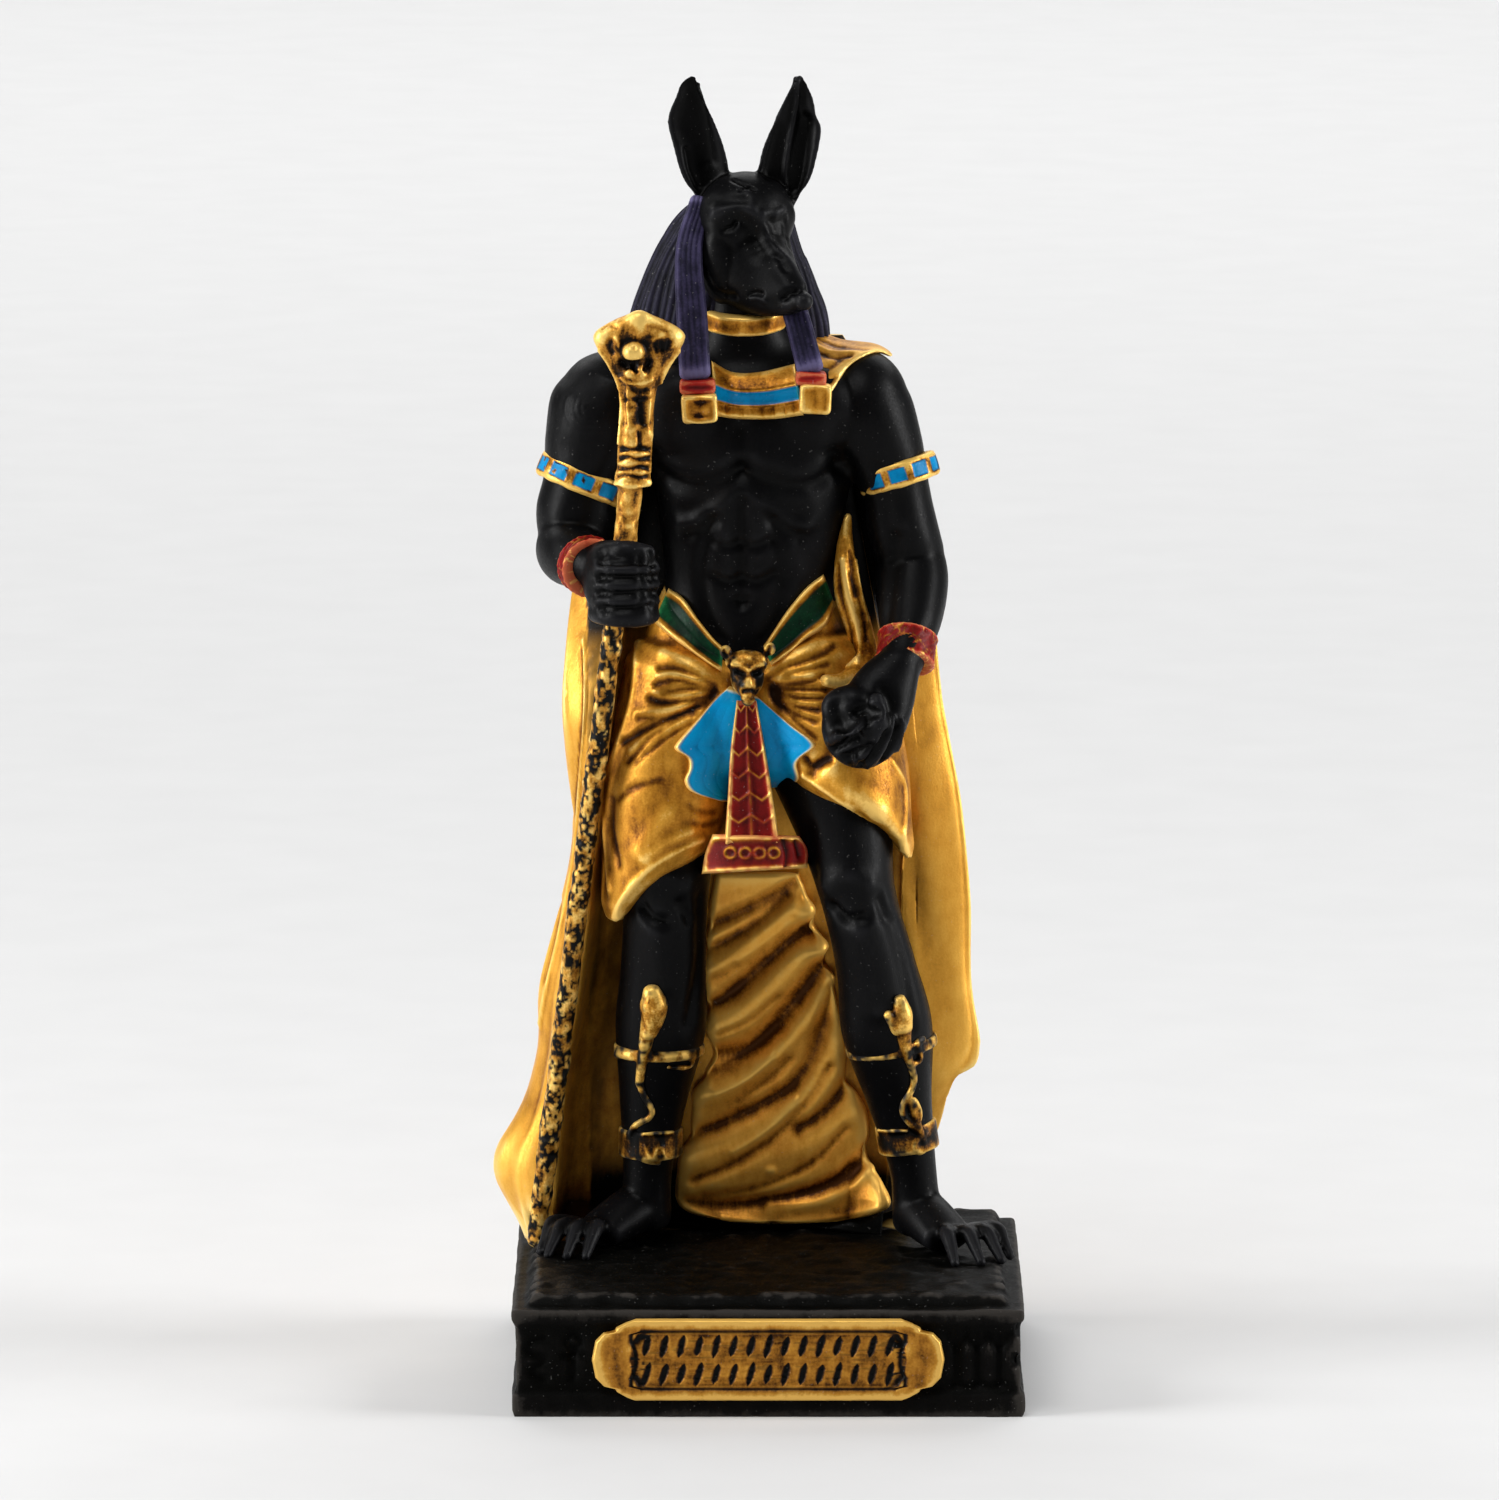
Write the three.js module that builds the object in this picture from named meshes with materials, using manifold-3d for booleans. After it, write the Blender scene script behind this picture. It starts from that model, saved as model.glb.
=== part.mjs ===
// A jackal-headed god standing with a cobra staff on a square base: a small souvenir cast in one piece.
// Millimetres, +Z up, +Y away from the viewer, origin at the middle of the base's underside.
import * as THREE from "three";
import { mergeVertices } from "three/addons/utils/BufferGeometryUtils.js";
import Module from "manifold-3d";

const wasm = await Module();
wasm.setup();

// The figure, from the ground to the tips of the ears. Its forms are shares of this height.
const FIGURE_HEIGHT = 80.5;

// The base
const BASE_WIDTH = 34.5;
const BASE_DEPTH = 30.5;
const BASE_HEIGHT = 7.35;
const LIP_HEIGHT = 0.95;
const LIP_ROUND = 0.3;
const FOOT_BAND_HEIGHT = 1.5;
const PANEL_INSET = 0.4;
const GROUND_RISE = 0.7;
const GROUND_SLOPE_WIDTH = 1.3;

// The nameplate on the front of the base, and the shallow marks on it and beside it
const PLATE_WIDTH = 23.6;
const PLATE_HEIGHT = 5.6;
const PLATE_RELIEF = 0.75;
const PLATE_RIM = 0.7;
const PLATE_FIELD_DEPTH = 0.3;
const STROKE_WIDTH = 0.5;
const STROKE_HEIGHT = 0.95;
const STROKE_RELIEF = 0.2;
const STROKE_SPACING = 2.1;
const STROKE_ROW_SPACING = 1.5;
const COLUMN_SPACING = 1.55;
const COLUMN_WIDTH = 0.45;
const COLUMN_CAPITAL_WIDTH = 1.1;
const COLUMN_DEPTH = 0.25;

// The staff
const STAFF_RADIUS = 0.7;
const STAFF_RING_RADIUS = 1.2;
const STAFF_RING_HEIGHT = 0.5;
const STAFF_RING_SPACING = 0.72;

// Bands worn on the limbs and the neck
const BAND_RELIEF = 0.32;
const ARMLET_HEIGHT = 1.7;
const BRACELET_HEIGHT = 1.6;
const GREAVE_BAND_HEIGHT = 0.9;
const ANKLE_BAND_HEIGHT = 1.9;
const CHOKER_HEIGHT = 1.5;

// How deep one form is rooted in the next
const ROOT = 0.3;

// Facets: how far they may lie from the drawn forms, the shortest edge and the smallest area that count, and
// how little they may turn
const FACET_TOLERANCE = 0.1;
const SHORTEST_EDGE = 0.002;
const SMALLEST_FACET = 1e-5;
const LEAST_FACET_AGREEMENT = 0.7;

// Points of the figure are noted at its full size, and follow its height: x to the right, y away, and z
// above the ground.
const NOTED_HEIGHT = 80.5;
const unit = FIGURE_HEIGHT / NOTED_HEIGHT;
const ground = BASE_HEIGHT + GROUND_RISE;
const at = (x, y, z) => new THREE.Vector3(x * unit, y * unit, ground + z * unit);

const UP = new THREE.Vector3(0, 0, 1);
const TO_VIEWER = new THREE.Vector3(0, -1, 0);
const TO_RIGHT = new THREE.Vector3(1, 0, 0);

// Closed solids

function solidFrom(positions, index) {
  const [vertProperties, triVerts] = [new Float32Array(positions), new Uint32Array(index)];
  return new wasm.Manifold(new wasm.Mesh({ numProp: 3, vertProperties, triVerts }));
}

function solidOf(geometry) {
  const bare = geometry.clone();
  for (const name of ["normal", "uv"]) bare.deleteAttribute(name);
  const merged = mergeVertices(bare, 1e-4);
  return solidFrom(merged.attributes.position.array, merged.index.array);
}

const joined = (solids) => solids.reduce((all, next) => all.add(next));

// Draws one end of an edge onto the other wherever the surface stays closed, moves by less than the
// tolerance and has no facet turned over. That takes away the slivers that joining leaves, and facets that
// lie almost in one plane.
function withFewerFacets(solid, tolerance) {
  const { vertProperties, triVerts } = solid.getMesh();
  const points = Array.from({ length: vertProperties.length / 3 }, (_, i) =>
    new THREE.Vector3().fromArray(vertProperties, 3 * i),
  );
  const facets = Array.from({ length: triVerts.length / 3 }, (_, i) => [
    ...triVerts.subarray(3 * i, 3 * i + 3),
  ]);
  const around = points.map(() => new Set());
  facets.forEach((facet, i) => facet.forEach((corner) => around[corner].add(i)));

  const nextTo = (corner) => {
    const corners = new Set([...around[corner]].flatMap((i) => facets[i]));
    corners.delete(corner);
    return corners;
  };
  const cornersOf = (facet) => facet.map((corner) => points[corner]);
  const planeOf = (facet) => new THREE.Plane().setFromCoplanarPoints(...cornersOf(facet));
  const areaOf = (facet) => new THREE.Triangle(...cornersOf(facet)).getArea();

  // How far the surface moves when the corner is drawn onto its neighbour
  function shift(corner, onto, limit) {
    const near = nextTo(corner);
    if ([...nextTo(onto)].filter((other) => near.has(other)).length !== 2) return Infinity;
    if (points[corner].distanceTo(points[onto]) < SHORTEST_EDGE) return 0;
    let furthest = 0;
    for (const i of around[corner]) {
      if (areaOf(facets[i]) < SMALLEST_FACET) continue;
      const before = planeOf(facets[i]);
      furthest = Math.max(furthest, Math.abs(before.distanceToPoint(points[onto])));
      if (furthest > limit) return Infinity;
      if (facets[i].includes(onto)) continue;
      const after = planeOf(facets[i].map((other) => (other === corner ? onto : other)));
      if (after.normal.dot(before.normal) < LEAST_FACET_AGREEMENT) return Infinity;
    }
    return furthest;
  }

  for (const limit of [tolerance / 16, tolerance / 8, tolerance / 4, tolerance / 2, tolerance]) {
    points.forEach((_, corner) => {
      let [onto, least] = [-1, limit];
      for (const other of nextTo(corner)) {
        const moved = shift(corner, other, limit);
        if (moved < least) [onto, least] = [other, moved];
      }
      if (onto < 0) return;
      for (const i of around[corner]) {
        if (facets[i].includes(onto)) {
          for (const other of facets[i]) if (other !== corner) around[other].delete(i);
          facets[i] = null;
        } else {
          facets[i] = facets[i].map((other) => (other === corner ? onto : other));
          around[onto].add(i);
        }
      }
      around[corner].clear();
    });
  }

  const corners = facets.filter(Boolean).flat();
  const kept = new Map([...new Set(corners)].map((corner, place) => [corner, place]));
  const positions = [...kept.keys()].flatMap((corner) => points[corner].toArray());
  return solidFrom(
    positions,
    corners.map((corner) => kept.get(corner)),
  );
}

function signedVolume(positions, index) {
  const [a, b, c] = [new THREE.Vector3(), new THREE.Vector3(), new THREE.Vector3()];
  let sum = 0;
  for (let i = 0; i < index.length; i += 3) {
    a.fromArray(positions, index[i] * 3);
    b.fromArray(positions, index[i + 1] * 3);
    c.fromArray(positions, index[i + 2] * 3);
    sum += a.dot(b.cross(c));
  }
  return sum / 6;
}

// Closed rings of equal length, joined in order, with both ends filled.
function loft(rings) {
  const count = rings[0].length;
  const positions = rings.flat().flatMap((p) => [p.x, p.y, p.z]);
  const index = [];
  for (let i = 0; i + 1 < rings.length; i++) {
    for (let j = 0; j < count; j++) {
      const here = i * count + j;
      const next = i * count + ((j + 1) % count);
      index.push(here, next, next + count, here, next + count, here + count);
    }
  }
  for (const [ring, start, first] of [
    [rings[0], 0, true],
    [rings.at(-1), (rings.length - 1) * count, false],
  ]) {
    const middle = ring.reduce((sum, p) => sum.add(p), new THREE.Vector3()).divideScalar(count);
    const pole = positions.length / 3;
    positions.push(middle.x, middle.y, middle.z);
    for (let j = 0; j < count; j++) {
      const here = start + j;
      const next = start + ((j + 1) % count);
      index.push(...(first ? [next, here, pole] : [here, next, pole]));
    }
  }
  if (signedVolume(positions, index) < 0) index.reverse();
  return solidFrom(positions, index);
}

const smoothLine = (points) => new THREE.CatmullRomCurve3(points, false, "catmullrom", 0.5);
const plainOval = () => 1;

// A limb of oval section along a smooth line through stations of [x, y, z, half width, half depth]. Its
// depth is measured towards the direction it faces, its ends are rounded, and it may swell.
function limb(stations, { sides = 8, steps = 5, facing = TO_VIEWER, swell = plainOval } = {}) {
  const path = smoothLine(stations.map(([x, y, z]) => at(x, y, z)));
  const girth = smoothLine(stations.map(([, , , wide, deep = wide]) => new THREE.Vector3(wide, deep, 0)));
  const ring = (t, shrink, past) => {
    const along = path.getTangent(t);
    const across = new THREE.Vector3().crossVectors(along, facing).normalize();
    const front = new THREE.Vector3().crossVectors(across, along);
    const { x: wide, y: deep } = girth.getPoint(t).multiplyScalar(unit);
    const centre = path.getPoint(t).addScaledVector(along, past * Math.min(wide, deep));
    return Array.from({ length: sides }, (_, j) => {
      const angle = (2 * Math.PI * (j + 0.5)) / sides;
      const spoke = across.clone().multiplyScalar(Math.cos(angle) * wide);
      spoke.addScaledVector(front, Math.sin(angle) * deep);
      const reach = shrink * swell(angle, centre.clone().add(spoke));
      return centre.clone().addScaledVector(spoke, reach);
    });
  };
  const body = Array.from({ length: steps + 1 }, (_, i) => ring(i / steps, 1, 0));
  return loft([ring(0, 0.5, -0.5), ...body, ring(1, 0.5, 0.5)]);
}

// An egg-shaped swelling, such as a muscle.
function egg(x, y, z, wide, deep, high, rings = 4) {
  const ball = new THREE.SphereGeometry(1, rings + 3, rings);
  ball.rotateX(Math.PI / 2);
  ball.scale(wide * unit, deep * unit, high * unit);
  ball.translate(...at(x, y, z));
  return solidOf(ball);
}

// A band round a limb.
function band(x, y, z, along, wide, deep, high, sides = 10) {
  const drum = new THREE.CylinderGeometry(1, 1, 1, sides);
  drum.scale(wide * unit + BAND_RELIEF, high, deep * unit + BAND_RELIEF);
  const axis = new THREE.Vector3(0, 1, 0);
  drum.applyQuaternion(new THREE.Quaternion().setFromUnitVectors(axis, along.normalize()));
  drum.translate(...at(x, y, z));
  return solidOf(drum);
}

// An upright sheet of even thickness whose outline is seen from the front.
function plate(outline, back, front) {
  const shape = new THREE.Shape(outline.map(([x, z]) => new THREE.Vector2(at(x, 0, z).x, at(x, 0, z).z)));
  const sheet = new THREE.ExtrudeGeometry(shape, { depth: (back - front) * unit, bevelEnabled: false });
  sheet.rotateX(Math.PI / 2);
  sheet.translate(0, back * unit, 0);
  return solidOf(sheet);
}

function block(wide, deep, high, x, y, z) {
  return solidOf(new THREE.BoxGeometry(wide, deep, high).translate(x, y, z));
}

// Torso: a trunk from the hips to the neck, grooved between the belly muscles, with two chest muscles.
const BELLY_MIDDLE = -1.1;
const BELLY_GROOVES = [52.0, 49.0, 46.2];
const BELLY_GROOVE_DEPTH = 0.07;

function bellyMuscles(angle, point) {
  if (Math.sin(angle) < 0.3) return 1;
  const groove = (distance, width) => Math.exp(-((distance / width) ** 2));
  const [fromMiddle, high] = [point.x / unit - BELLY_MIDDLE, (point.z - ground) / unit];
  const middle = groove(fromMiddle, 0.6) * groove(high - 49, 6);
  const sides = groove(Math.abs(fromMiddle) - 3.5, 0.7) * groove(high - 49, 6);
  const across = BELLY_GROOVES.reduce((sum, z) => sum + groove(high - z, 0.5), 0) * groove(fromMiddle, 3);
  return 1 - BELLY_GROOVE_DEPTH * (middle + sides + across);
}

function torso() {
  const trunk = limb(
    [
      [-1.3, 2.6, 34.6, 6.0, 4.2],
      [-1.3, 2.5, 40.6, 6.4, 4.3],
      [-1.2, 2.3, 45.6, 5.8, 3.9],
      [-1.1, 2.0, 50.0, 6.2, 4.2],
      [-1.1, 1.8, 54.0, 7.0, 4.6],
      [-1.3, 1.9, 57.4, 8.3, 4.8],
      [-1.5, 2.2, 60.3, 7.2, 3.9],
      [-1.6, 2.0, 62.6, 3.4, 2.9],
      [-1.6, 1.4, 66.4, 2.3, 2.4],
    ],
    { sides: 28, steps: 36, swell: bellyMuscles },
  );
  const chest = [-4.9, 2.3].map((x) => egg(x, -0.5, 57.9, 4.3, 2.5, 3.3, 8));
  return [trunk, ...chest];
}

// Arms: the right one, on the viewer's left, bends to the staff, and the left one hangs with a closed fist.
function arms() {
  const round = { sides: 12, steps: 8 };
  const rightUpper = [
    [-10.3, 1.5, 59.2, 3.3, 3.5],
    [-11.0, 1.5, 57.4, 3.9, 3.9],
    [-11.9, 1.5, 55.0, 3.3, 3.6],
    [-12.5, 1.5, 52.8, 2.7, 3.0],
    [-12.9, 1.4, 50.6, 2.8, 3.0],
    [-13.1, 1.2, 48.2, 2.3, 2.4],
  ];
  const rightLower = [
    [-12.9, 2.4, 49.2, 2.1, 2.1],
    [-13.2, 0.2, 48.4, 2.5, 2.5],
    [-13.0, -2.0, 48.2, 2.2, 2.2],
    [-12.2, -4.0, 48.2, 1.6, 1.8],
  ];
  const leftUpper = [
    [5.8, 1.6, 59.2, 3.0, 3.4],
    [6.8, 1.5, 57.4, 3.5, 3.8],
    [7.8, 1.5, 54.8, 2.8, 3.2],
    [8.6, 1.6, 52.4, 2.3, 2.7],
    [9.0, 1.8, 50.0, 2.4, 2.8],
    [9.6, 2.1, 47.6, 2.4, 2.4],
  ];
  const leftLower = [
    [9.4, 2.9, 48.6, 2.1, 2.1],
    [9.7, 1.6, 46.4, 2.5, 2.5],
    [9.6, -0.8, 44.0, 2.2, 2.2],
    [9.2, -3.2, 42.0, 1.6, 1.7],
    [8.4, -4.6, 40.6, 1.6, 1.5],
  ];
  return [
    egg(-10.7, 1.5, 58.0, 3.6, 3.6, 3.7, 8),
    egg(6.5, 1.5, 57.9, 3.4, 3.7, 3.9, 8),
    limb(rightUpper, round),
    limb(rightLower, round),
    limb(leftUpper, round),
    limb(leftLower, round),
  ];
}

// The right hand closes round the staff: a palm, four fingers and a thumb.
function rightHand() {
  const small = { sides: 5, steps: 3, facing: UP };
  const palm = egg(-11.3, -4.9, 48.2, 1.5, 1.7, 2.4);
  const fingers = [49.9, 48.7, 47.5, 46.3].map((z) => {
    const [root, knuckle] = [[-12.1, -5.4, z, 0.66], [-10.9, -6.9, z, 0.68]];
    return limb([root, knuckle, [-9.0, -6.9, z - 0.1, 0.64], [-8.1, -5.4, z - 0.1, 0.56]], small);
  });
  const thumb = limb([[-11.2, -4.0, 49.8, 0.8], [-9.2, -3.8, 50.3, 0.7], [-7.8, -4.6, 49.4, 0.6]], small);
  return [palm, ...fingers, thumb];
}

// The left hand hangs as a fist, its back to the viewer and its fingers curled under.
const LEFT_KNUCKLES = [[4.9, -7.2, 37.2], [6.0, -7.0, 36.9], [7.1, -6.7, 37.2], [8.1, -6.3, 37.8]];

function leftHand() {
  const small = { sides: 5, steps: 3, facing: TO_RIGHT };
  const back = [
    [8.7, -4.2, 41.2, 1.5, 1.4],
    [7.2, -5.2, 39.6, 2.5, 1.7],
    [6.6, -6.0, 37.4, 2.6, 1.8],
  ];
  const fingers = LEFT_KNUCKLES.map(([x, y, z]) => {
    const [knuckle, joint] = [[x, y, z, 0.78], [x - 0.1, y - 0.2, z - 1.5, 0.76]];
    return limb([knuckle, joint, [x - 0.3, y + 1.0, z - 2.2, 0.7], [x - 0.4, -4.8, z - 1.2, 0.66]], small);
  });
  const thumb = limb([[5.6, -5.4, 40.0, 0.9], [4.0, -6.3, 38.7, 0.95], [4.3, -7.1, 36.8, 0.75]], small);
  return [limb(back, { steps: 4 }), ...fingers, thumb];
}

// Legs, from the hips into the ankles.
function legs() {
  const long = { sides: 14, steps: 13 };
  const right = [
    [-4.4, 2.3, 38.6, 4.4, 4.4],
    [-6.4, 1.4, 31.2, 3.6, 3.9],
    [-6.9, 0.6, 25.0, 2.9, 3.2],
    [-7.1, 1.5, 19.5, 2.9, 3.0],
    [-7.3, 2.6, 15.2, 3.1, 3.2],
    [-7.8, 3.4, 10.2, 2.35, 2.4],
    [-8.2, 3.9, 5.2, 1.7, 1.9],
    [-8.3, 4.2, 1.6, 1.7, 2.0],
  ];
  const left = [
    [2.0, 2.3, 38.6, 4.4, 4.4],
    [4.7, 0.0, 31.6, 3.7, 3.9],
    [6.0, -1.4, 25.4, 2.6, 3.1],
    [7.3, -0.6, 20.0, 2.7, 2.9],
    [8.1, 0.6, 15.4, 3.1, 3.2],
    [9.0, 1.6, 10.2, 2.2, 2.3],
    [9.9, 2.3, 5.4, 1.6, 1.8],
    [10.2, 2.6, 1.6, 1.7, 1.9],
  ];
  return [limb(right, long), limb(left, long)];
}

// Feet: an instep, and long clawed toes that fan from it. Each toe is [knuckle x, y, tip x, y].
const RIGHT_TOES = [
  [-14.6, 1.4, -15.5, -0.9],
  [-14.0, 0.3, -15.0, -2.0],
  [-12.9, -0.2, -13.7, -2.3],
  [-11.7, -0.3, -12.4, -2.4],
];
const LEFT_TOES = [
  [12.2, -2.4, 12.7, -4.6],
  [13.6, -2.1, 14.5, -4.3],
  [14.8, -1.6, 15.9, -3.7],
  [15.5, -0.6, 16.5, -2.3],
];

function foot([heelX, heelY], [instepX, instepY], toes) {
  const midway = [(heelX + instepX) / 2, (heelY + instepY) / 2];
  const top = [[heelX, heelY, 2.6, 1.8, 1.7], [...midway, 1.9, 1.9, 1.6], [instepX, instepY, 1.2, 1.9, 1.2]];
  const claws = toes.map(([kneeX, kneeY, tipX, tipY]) => {
    const root = [(instepX + kneeX) / 2, (instepY + kneeY) / 2, 1.6, 0.75];
    const joint = [(kneeX + tipX) / 2, (kneeY + tipY) / 2, 0.9, 0.55];
    const stations = [root, [kneeX, kneeY, 1.7, 0.72], joint, [tipX, tipY, 0.1, 0.4]];
    return limb(stations, { sides: 5, steps: 3, facing: UP });
  });
  return [limb(top, { sides: 6, steps: 2, facing: UP }), ...claws];
}

function feet() {
  return [...foot([-8.3, 4.2], [-11.4, 1.6], RIGHT_TOES), ...foot([10.1, 2.6], [12.2, -0.6], LEFT_TOES)];
}

// Head, noted from the middle of the skull: forward to the nose, sideways, and up. It is turned and bowed.
const HEAD_TURN = THREE.MathUtils.degToRad(36);
const HEAD_PLACE = [-1.5, 1.3, 69.6];

function onHead([forward, side, up, ...girth]) {
  const [x, y, z] = HEAD_PLACE;
  const [sin, cos] = [Math.sin(HEAD_TURN), Math.cos(HEAD_TURN)];
  return [x + forward * sin + side * cos, y - forward * cos + side * sin, z + up, ...girth];
}

// A form of four-sided sections with rounded corners, across the head, through stations of [forward, top,
// bottom, half width above, half width below].
function wedge(stations, { sides = 10, steps = 6 } = {}) {
  const levels = smoothLine(stations.map(([forward, top, bottom]) => new THREE.Vector3(forward, top, bottom)));
  const girth = smoothLine(stations.map(([, , , above, below]) => new THREE.Vector3(above, below, 0)));
  const squared = (value, power) => Math.sign(value) * Math.abs(value) ** power;
  const rings = Array.from({ length: steps + 1 }, (_, i) => {
    const { x: forward, y: top, z: bottom } = levels.getPoint(i / steps);
    const { x: above, y: below } = girth.getPoint(i / steps);
    return Array.from({ length: sides }, (_, j) => {
      const angle = (2 * Math.PI * j) / sides;
      const level = (squared(Math.sin(angle), 0.7) + 1) / 2;
      const side = squared(Math.cos(angle), 0.65) * mix(below, above, level);
      return at(...onHead([forward, side, mix(bottom, top, level)]));
    });
  });
  return loft(rings);
}

function head() {
  const muzzle = [
    [-1.6, 2.6, -4.0, 2.7, 2.5],
    [0.2, 3.6, -4.9, 2.9, 3.05],
    [1.6, 3.1, -5.2, 2.5, 2.8],
    [2.6, 1.8, -5.2, 1.85, 2.5],
    [3.8, 0.4, -5.1, 1.35, 2.1],
    [5.0, -0.7, -4.9, 1.1, 1.7],
    [6.0, -1.9, -4.6, 0.9, 1.2],
    [6.6, -2.7, -4.2, 0.6, 0.7],
  ];
  return [
    egg(...onHead([0, 0, 1.2]), 3.3, 3.3, 3.1, 8),
    egg(...onHead([-0.5, 0, -1.2]), 3.1, 3.1, 3.2, 6),
    wedge(muzzle),
    egg(...onHead([6.5, 0, -2.8]), 0.8, 0.8, 0.65),
    ...[-1.5, 1.5].map((side) => egg(...onHead([1.6, side, 1.9]), 1.45, 1.5, 0.65, 5)),
  ];
}

// Ears: tall leaves, hollowed towards the viewer.
function ears() {
  const hollow = (angle) => 1 - 0.7 * Math.max(0, Math.sin(angle));
  const leaf = { sides: 12, steps: 9, swell: hollow };
  const right = [
    [-3.4, 1.7, 71.6, 1.1, 1.3],
    [-4.0, 1.7, 73.4, 1.45, 1.4],
    [-4.9, 1.4, 76.2, 1.85, 1.2],
    [-5.2, 1.1, 78.6, 1.1, 0.7],
    [-5.15, 1.0, 80.3, 0.2, 0.2],
  ];
  const left = [
    [0.6, 1.7, 71.6, 1.1, 1.3],
    [1.0, 1.7, 73.4, 1.6, 1.4],
    [1.8, 1.4, 76.2, 1.85, 1.2],
    [2.25, 1.1, 78.6, 0.95, 0.7],
    [2.2, 1.0, 80.3, 0.2, 0.2],
  ];
  return [limb(right, leaf), limb(left, leaf)];
}

// Wig: a flaring mass of straight locks that falls on the back, and two lappets hanging in front.
const WIG_LOCKS = 16;
const WIG_LOCK_DEPTH = 0.035;

function wig() {
  const locks = (angle) => 1 + WIG_LOCK_DEPTH * Math.sin(WIG_LOCKS * angle);
  const mass = [
    [-1.4, 2.8, 72.2, 1.8, 2.2],
    [-1.6, 3.2, 70.9, 3.2, 3.2],
    [-2.4, 3.4, 68.6, 4.5, 3.6],
    [-2.7, 3.6, 66.2, 5.5, 3.8],
    [-2.8, 3.9, 63.4, 6.4, 3.7],
    [-2.8, 4.6, 60.0, 6.6, 3.4],
  ];
  const rightLappet = [
    [-4.8, 0.7, 71.9, 0.8, 1.0],
    [-5.5, -1.2, 68.8, 0.95, 0.9],
    [-5.1, -2.4, 64.4, 1.1, 0.8],
    [-4.9, -3.3, 60.8, 1.1, 0.75],
  ];
  const leftLappet = [
    [1.2, -0.8, 68.6, 0.9, 0.9],
    [1.9, -2.0, 64.8, 0.9, 0.85],
    [2.8, -3.2, 61.2, 0.95, 0.75],
  ];
  const long = { sides: 2 * WIG_LOCKS, steps: 8, swell: locks };
  return [limb(mass, long), limb(rightLappet), limb(leftLappet)];
}

// Jewellery: a choker, a broad collar, a cap on the end of each lappet, armlets, bracelets and leg bands.
function jewellery() {
  const collar = [
    [-5.4, -2.7, 59.6, 1.5, 0.7],
    [-3.2, -3.7, 59.4, 1.6, 0.7],
    [-0.8, -4.0, 59.3, 1.6, 0.7],
    [1.6, -3.7, 59.5, 1.6, 0.7],
    [3.9, -2.6, 59.9, 1.5, 0.7],
  ];
  const caps = [at(-4.75, -3.9, 58.9), at(3.1, -3.8, 59.4)];
  return [
    limb(collar),
    ...caps.map((cap) => block(2.3 * unit, 1.3 * unit, 2.1 * unit, ...cap)),
    band(-1.6, 1.4, 64.0, new THREE.Vector3(0, -0.2, 1), 2.5, 2.5, CHOKER_HEIGHT),
    band(-12.5, 1.5, 53.0, new THREE.Vector3(0.42, 0.1, 1), 2.85, 3.0, ARMLET_HEIGHT),
    band(8.8, 1.6, 53.4, new THREE.Vector3(-0.3, 0.1, 1), 2.4, 2.75, ARMLET_HEIGHT),
    band(-12.6, -3.2, 48.2, new THREE.Vector3(0.45, -1, 0), 1.85, 1.95, BRACELET_HEIGHT),
    band(9.3, -2.7, 42.5, new THREE.Vector3(-0.1, -0.7, -0.6), 1.75, 1.8, BRACELET_HEIGHT),
    band(-7.4, 2.8, 13.6, UP.clone(), 2.95, 3.1, GREAVE_BAND_HEIGHT),
    band(8.4, 0.9, 14.2, new THREE.Vector3(-0.15, 0, 1), 3.0, 3.1, GREAVE_BAND_HEIGHT),
    band(-8.0, 3.7, 7.2, UP.clone(), 2.0, 2.1, ANKLE_BAND_HEIGHT),
    band(9.5, 2.0, 7.9, new THREE.Vector3(-0.15, 0, 1), 1.9, 2.0, ANKLE_BAND_HEIGHT),
  ];
}

// Shin cobras: one rears on each shin, above a body that winds down to the ankle band.
function shinCobras() {
  const body = { sides: 4, steps: 7 };
  const hood = { sides: 6, steps: 3 };
  const rightBody = [
    [-8.5, -0.4, 14.8, 0.4],
    [-8.9, 0.0, 12.4, 0.4],
    [-7.8, 0.5, 10.4, 0.4],
    [-8.9, 1.1, 8.8, 0.4],
    [-8.6, 1.4, 7.2, 0.4],
  ];
  const rightHood = [
    [-8.2, -0.9, 18.6, 0.6, 0.4],
    [-8.1, -1.0, 17.4, 1.15, 0.55],
    [-8.5, -0.6, 15.4, 0.65, 0.5],
    [-8.6, -0.4, 14.2, 0.45, 0.45],
  ];
  const leftBody = [
    [9.4, -2.0, 15.0, 0.4],
    [10.0, -1.4, 13.2, 0.4],
    [9.2, -0.8, 11.0, 0.4],
    [10.1, -0.2, 9.6, 0.4],
    [10.6, 0.1, 8.2, 0.4],
  ];
  const leftHood = [
    [8.9, -2.7, 19.2, 0.6, 0.4],
    [8.7, -2.8, 18.0, 1.2, 0.55],
    [9.1, -2.5, 16.0, 0.7, 0.5],
    [9.4, -2.0, 14.4, 0.45, 0.45],
  ];
  return [limb(rightBody, body), limb(rightHood, hood), limb(leftBody, body), limb(leftHood, hood)];
}

// Kilt: cloth gathered at the buckle, round the hips and over both thighs, cut to its slanting hems.
const RIGHT_HEM = [[-13.0, 23.6], [-10.6, 24.4], [-7.0, 27.4], [-3.0, 30.0]];
const LEFT_HEM = [[0.6, 33.4], [4.0, 32.5], [7.0, 30.2], [9.0, 27.2], [12.0, 26.6]];

function below(hem) {
  const [first, last] = [hem[0], hem.at(-1)];
  return plate([...hem, [last[0], 10], [first[0], 10]], 20, -20);
}

// The top of the kilt dips to the buckle and leaves the belly bare.
const WAISTLINE = [[-7.3, 46.1], [-3.4, 41.9], [0.3, 42.1], [4.0, 46.3]];
const WAIST_BACK = 2;

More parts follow.
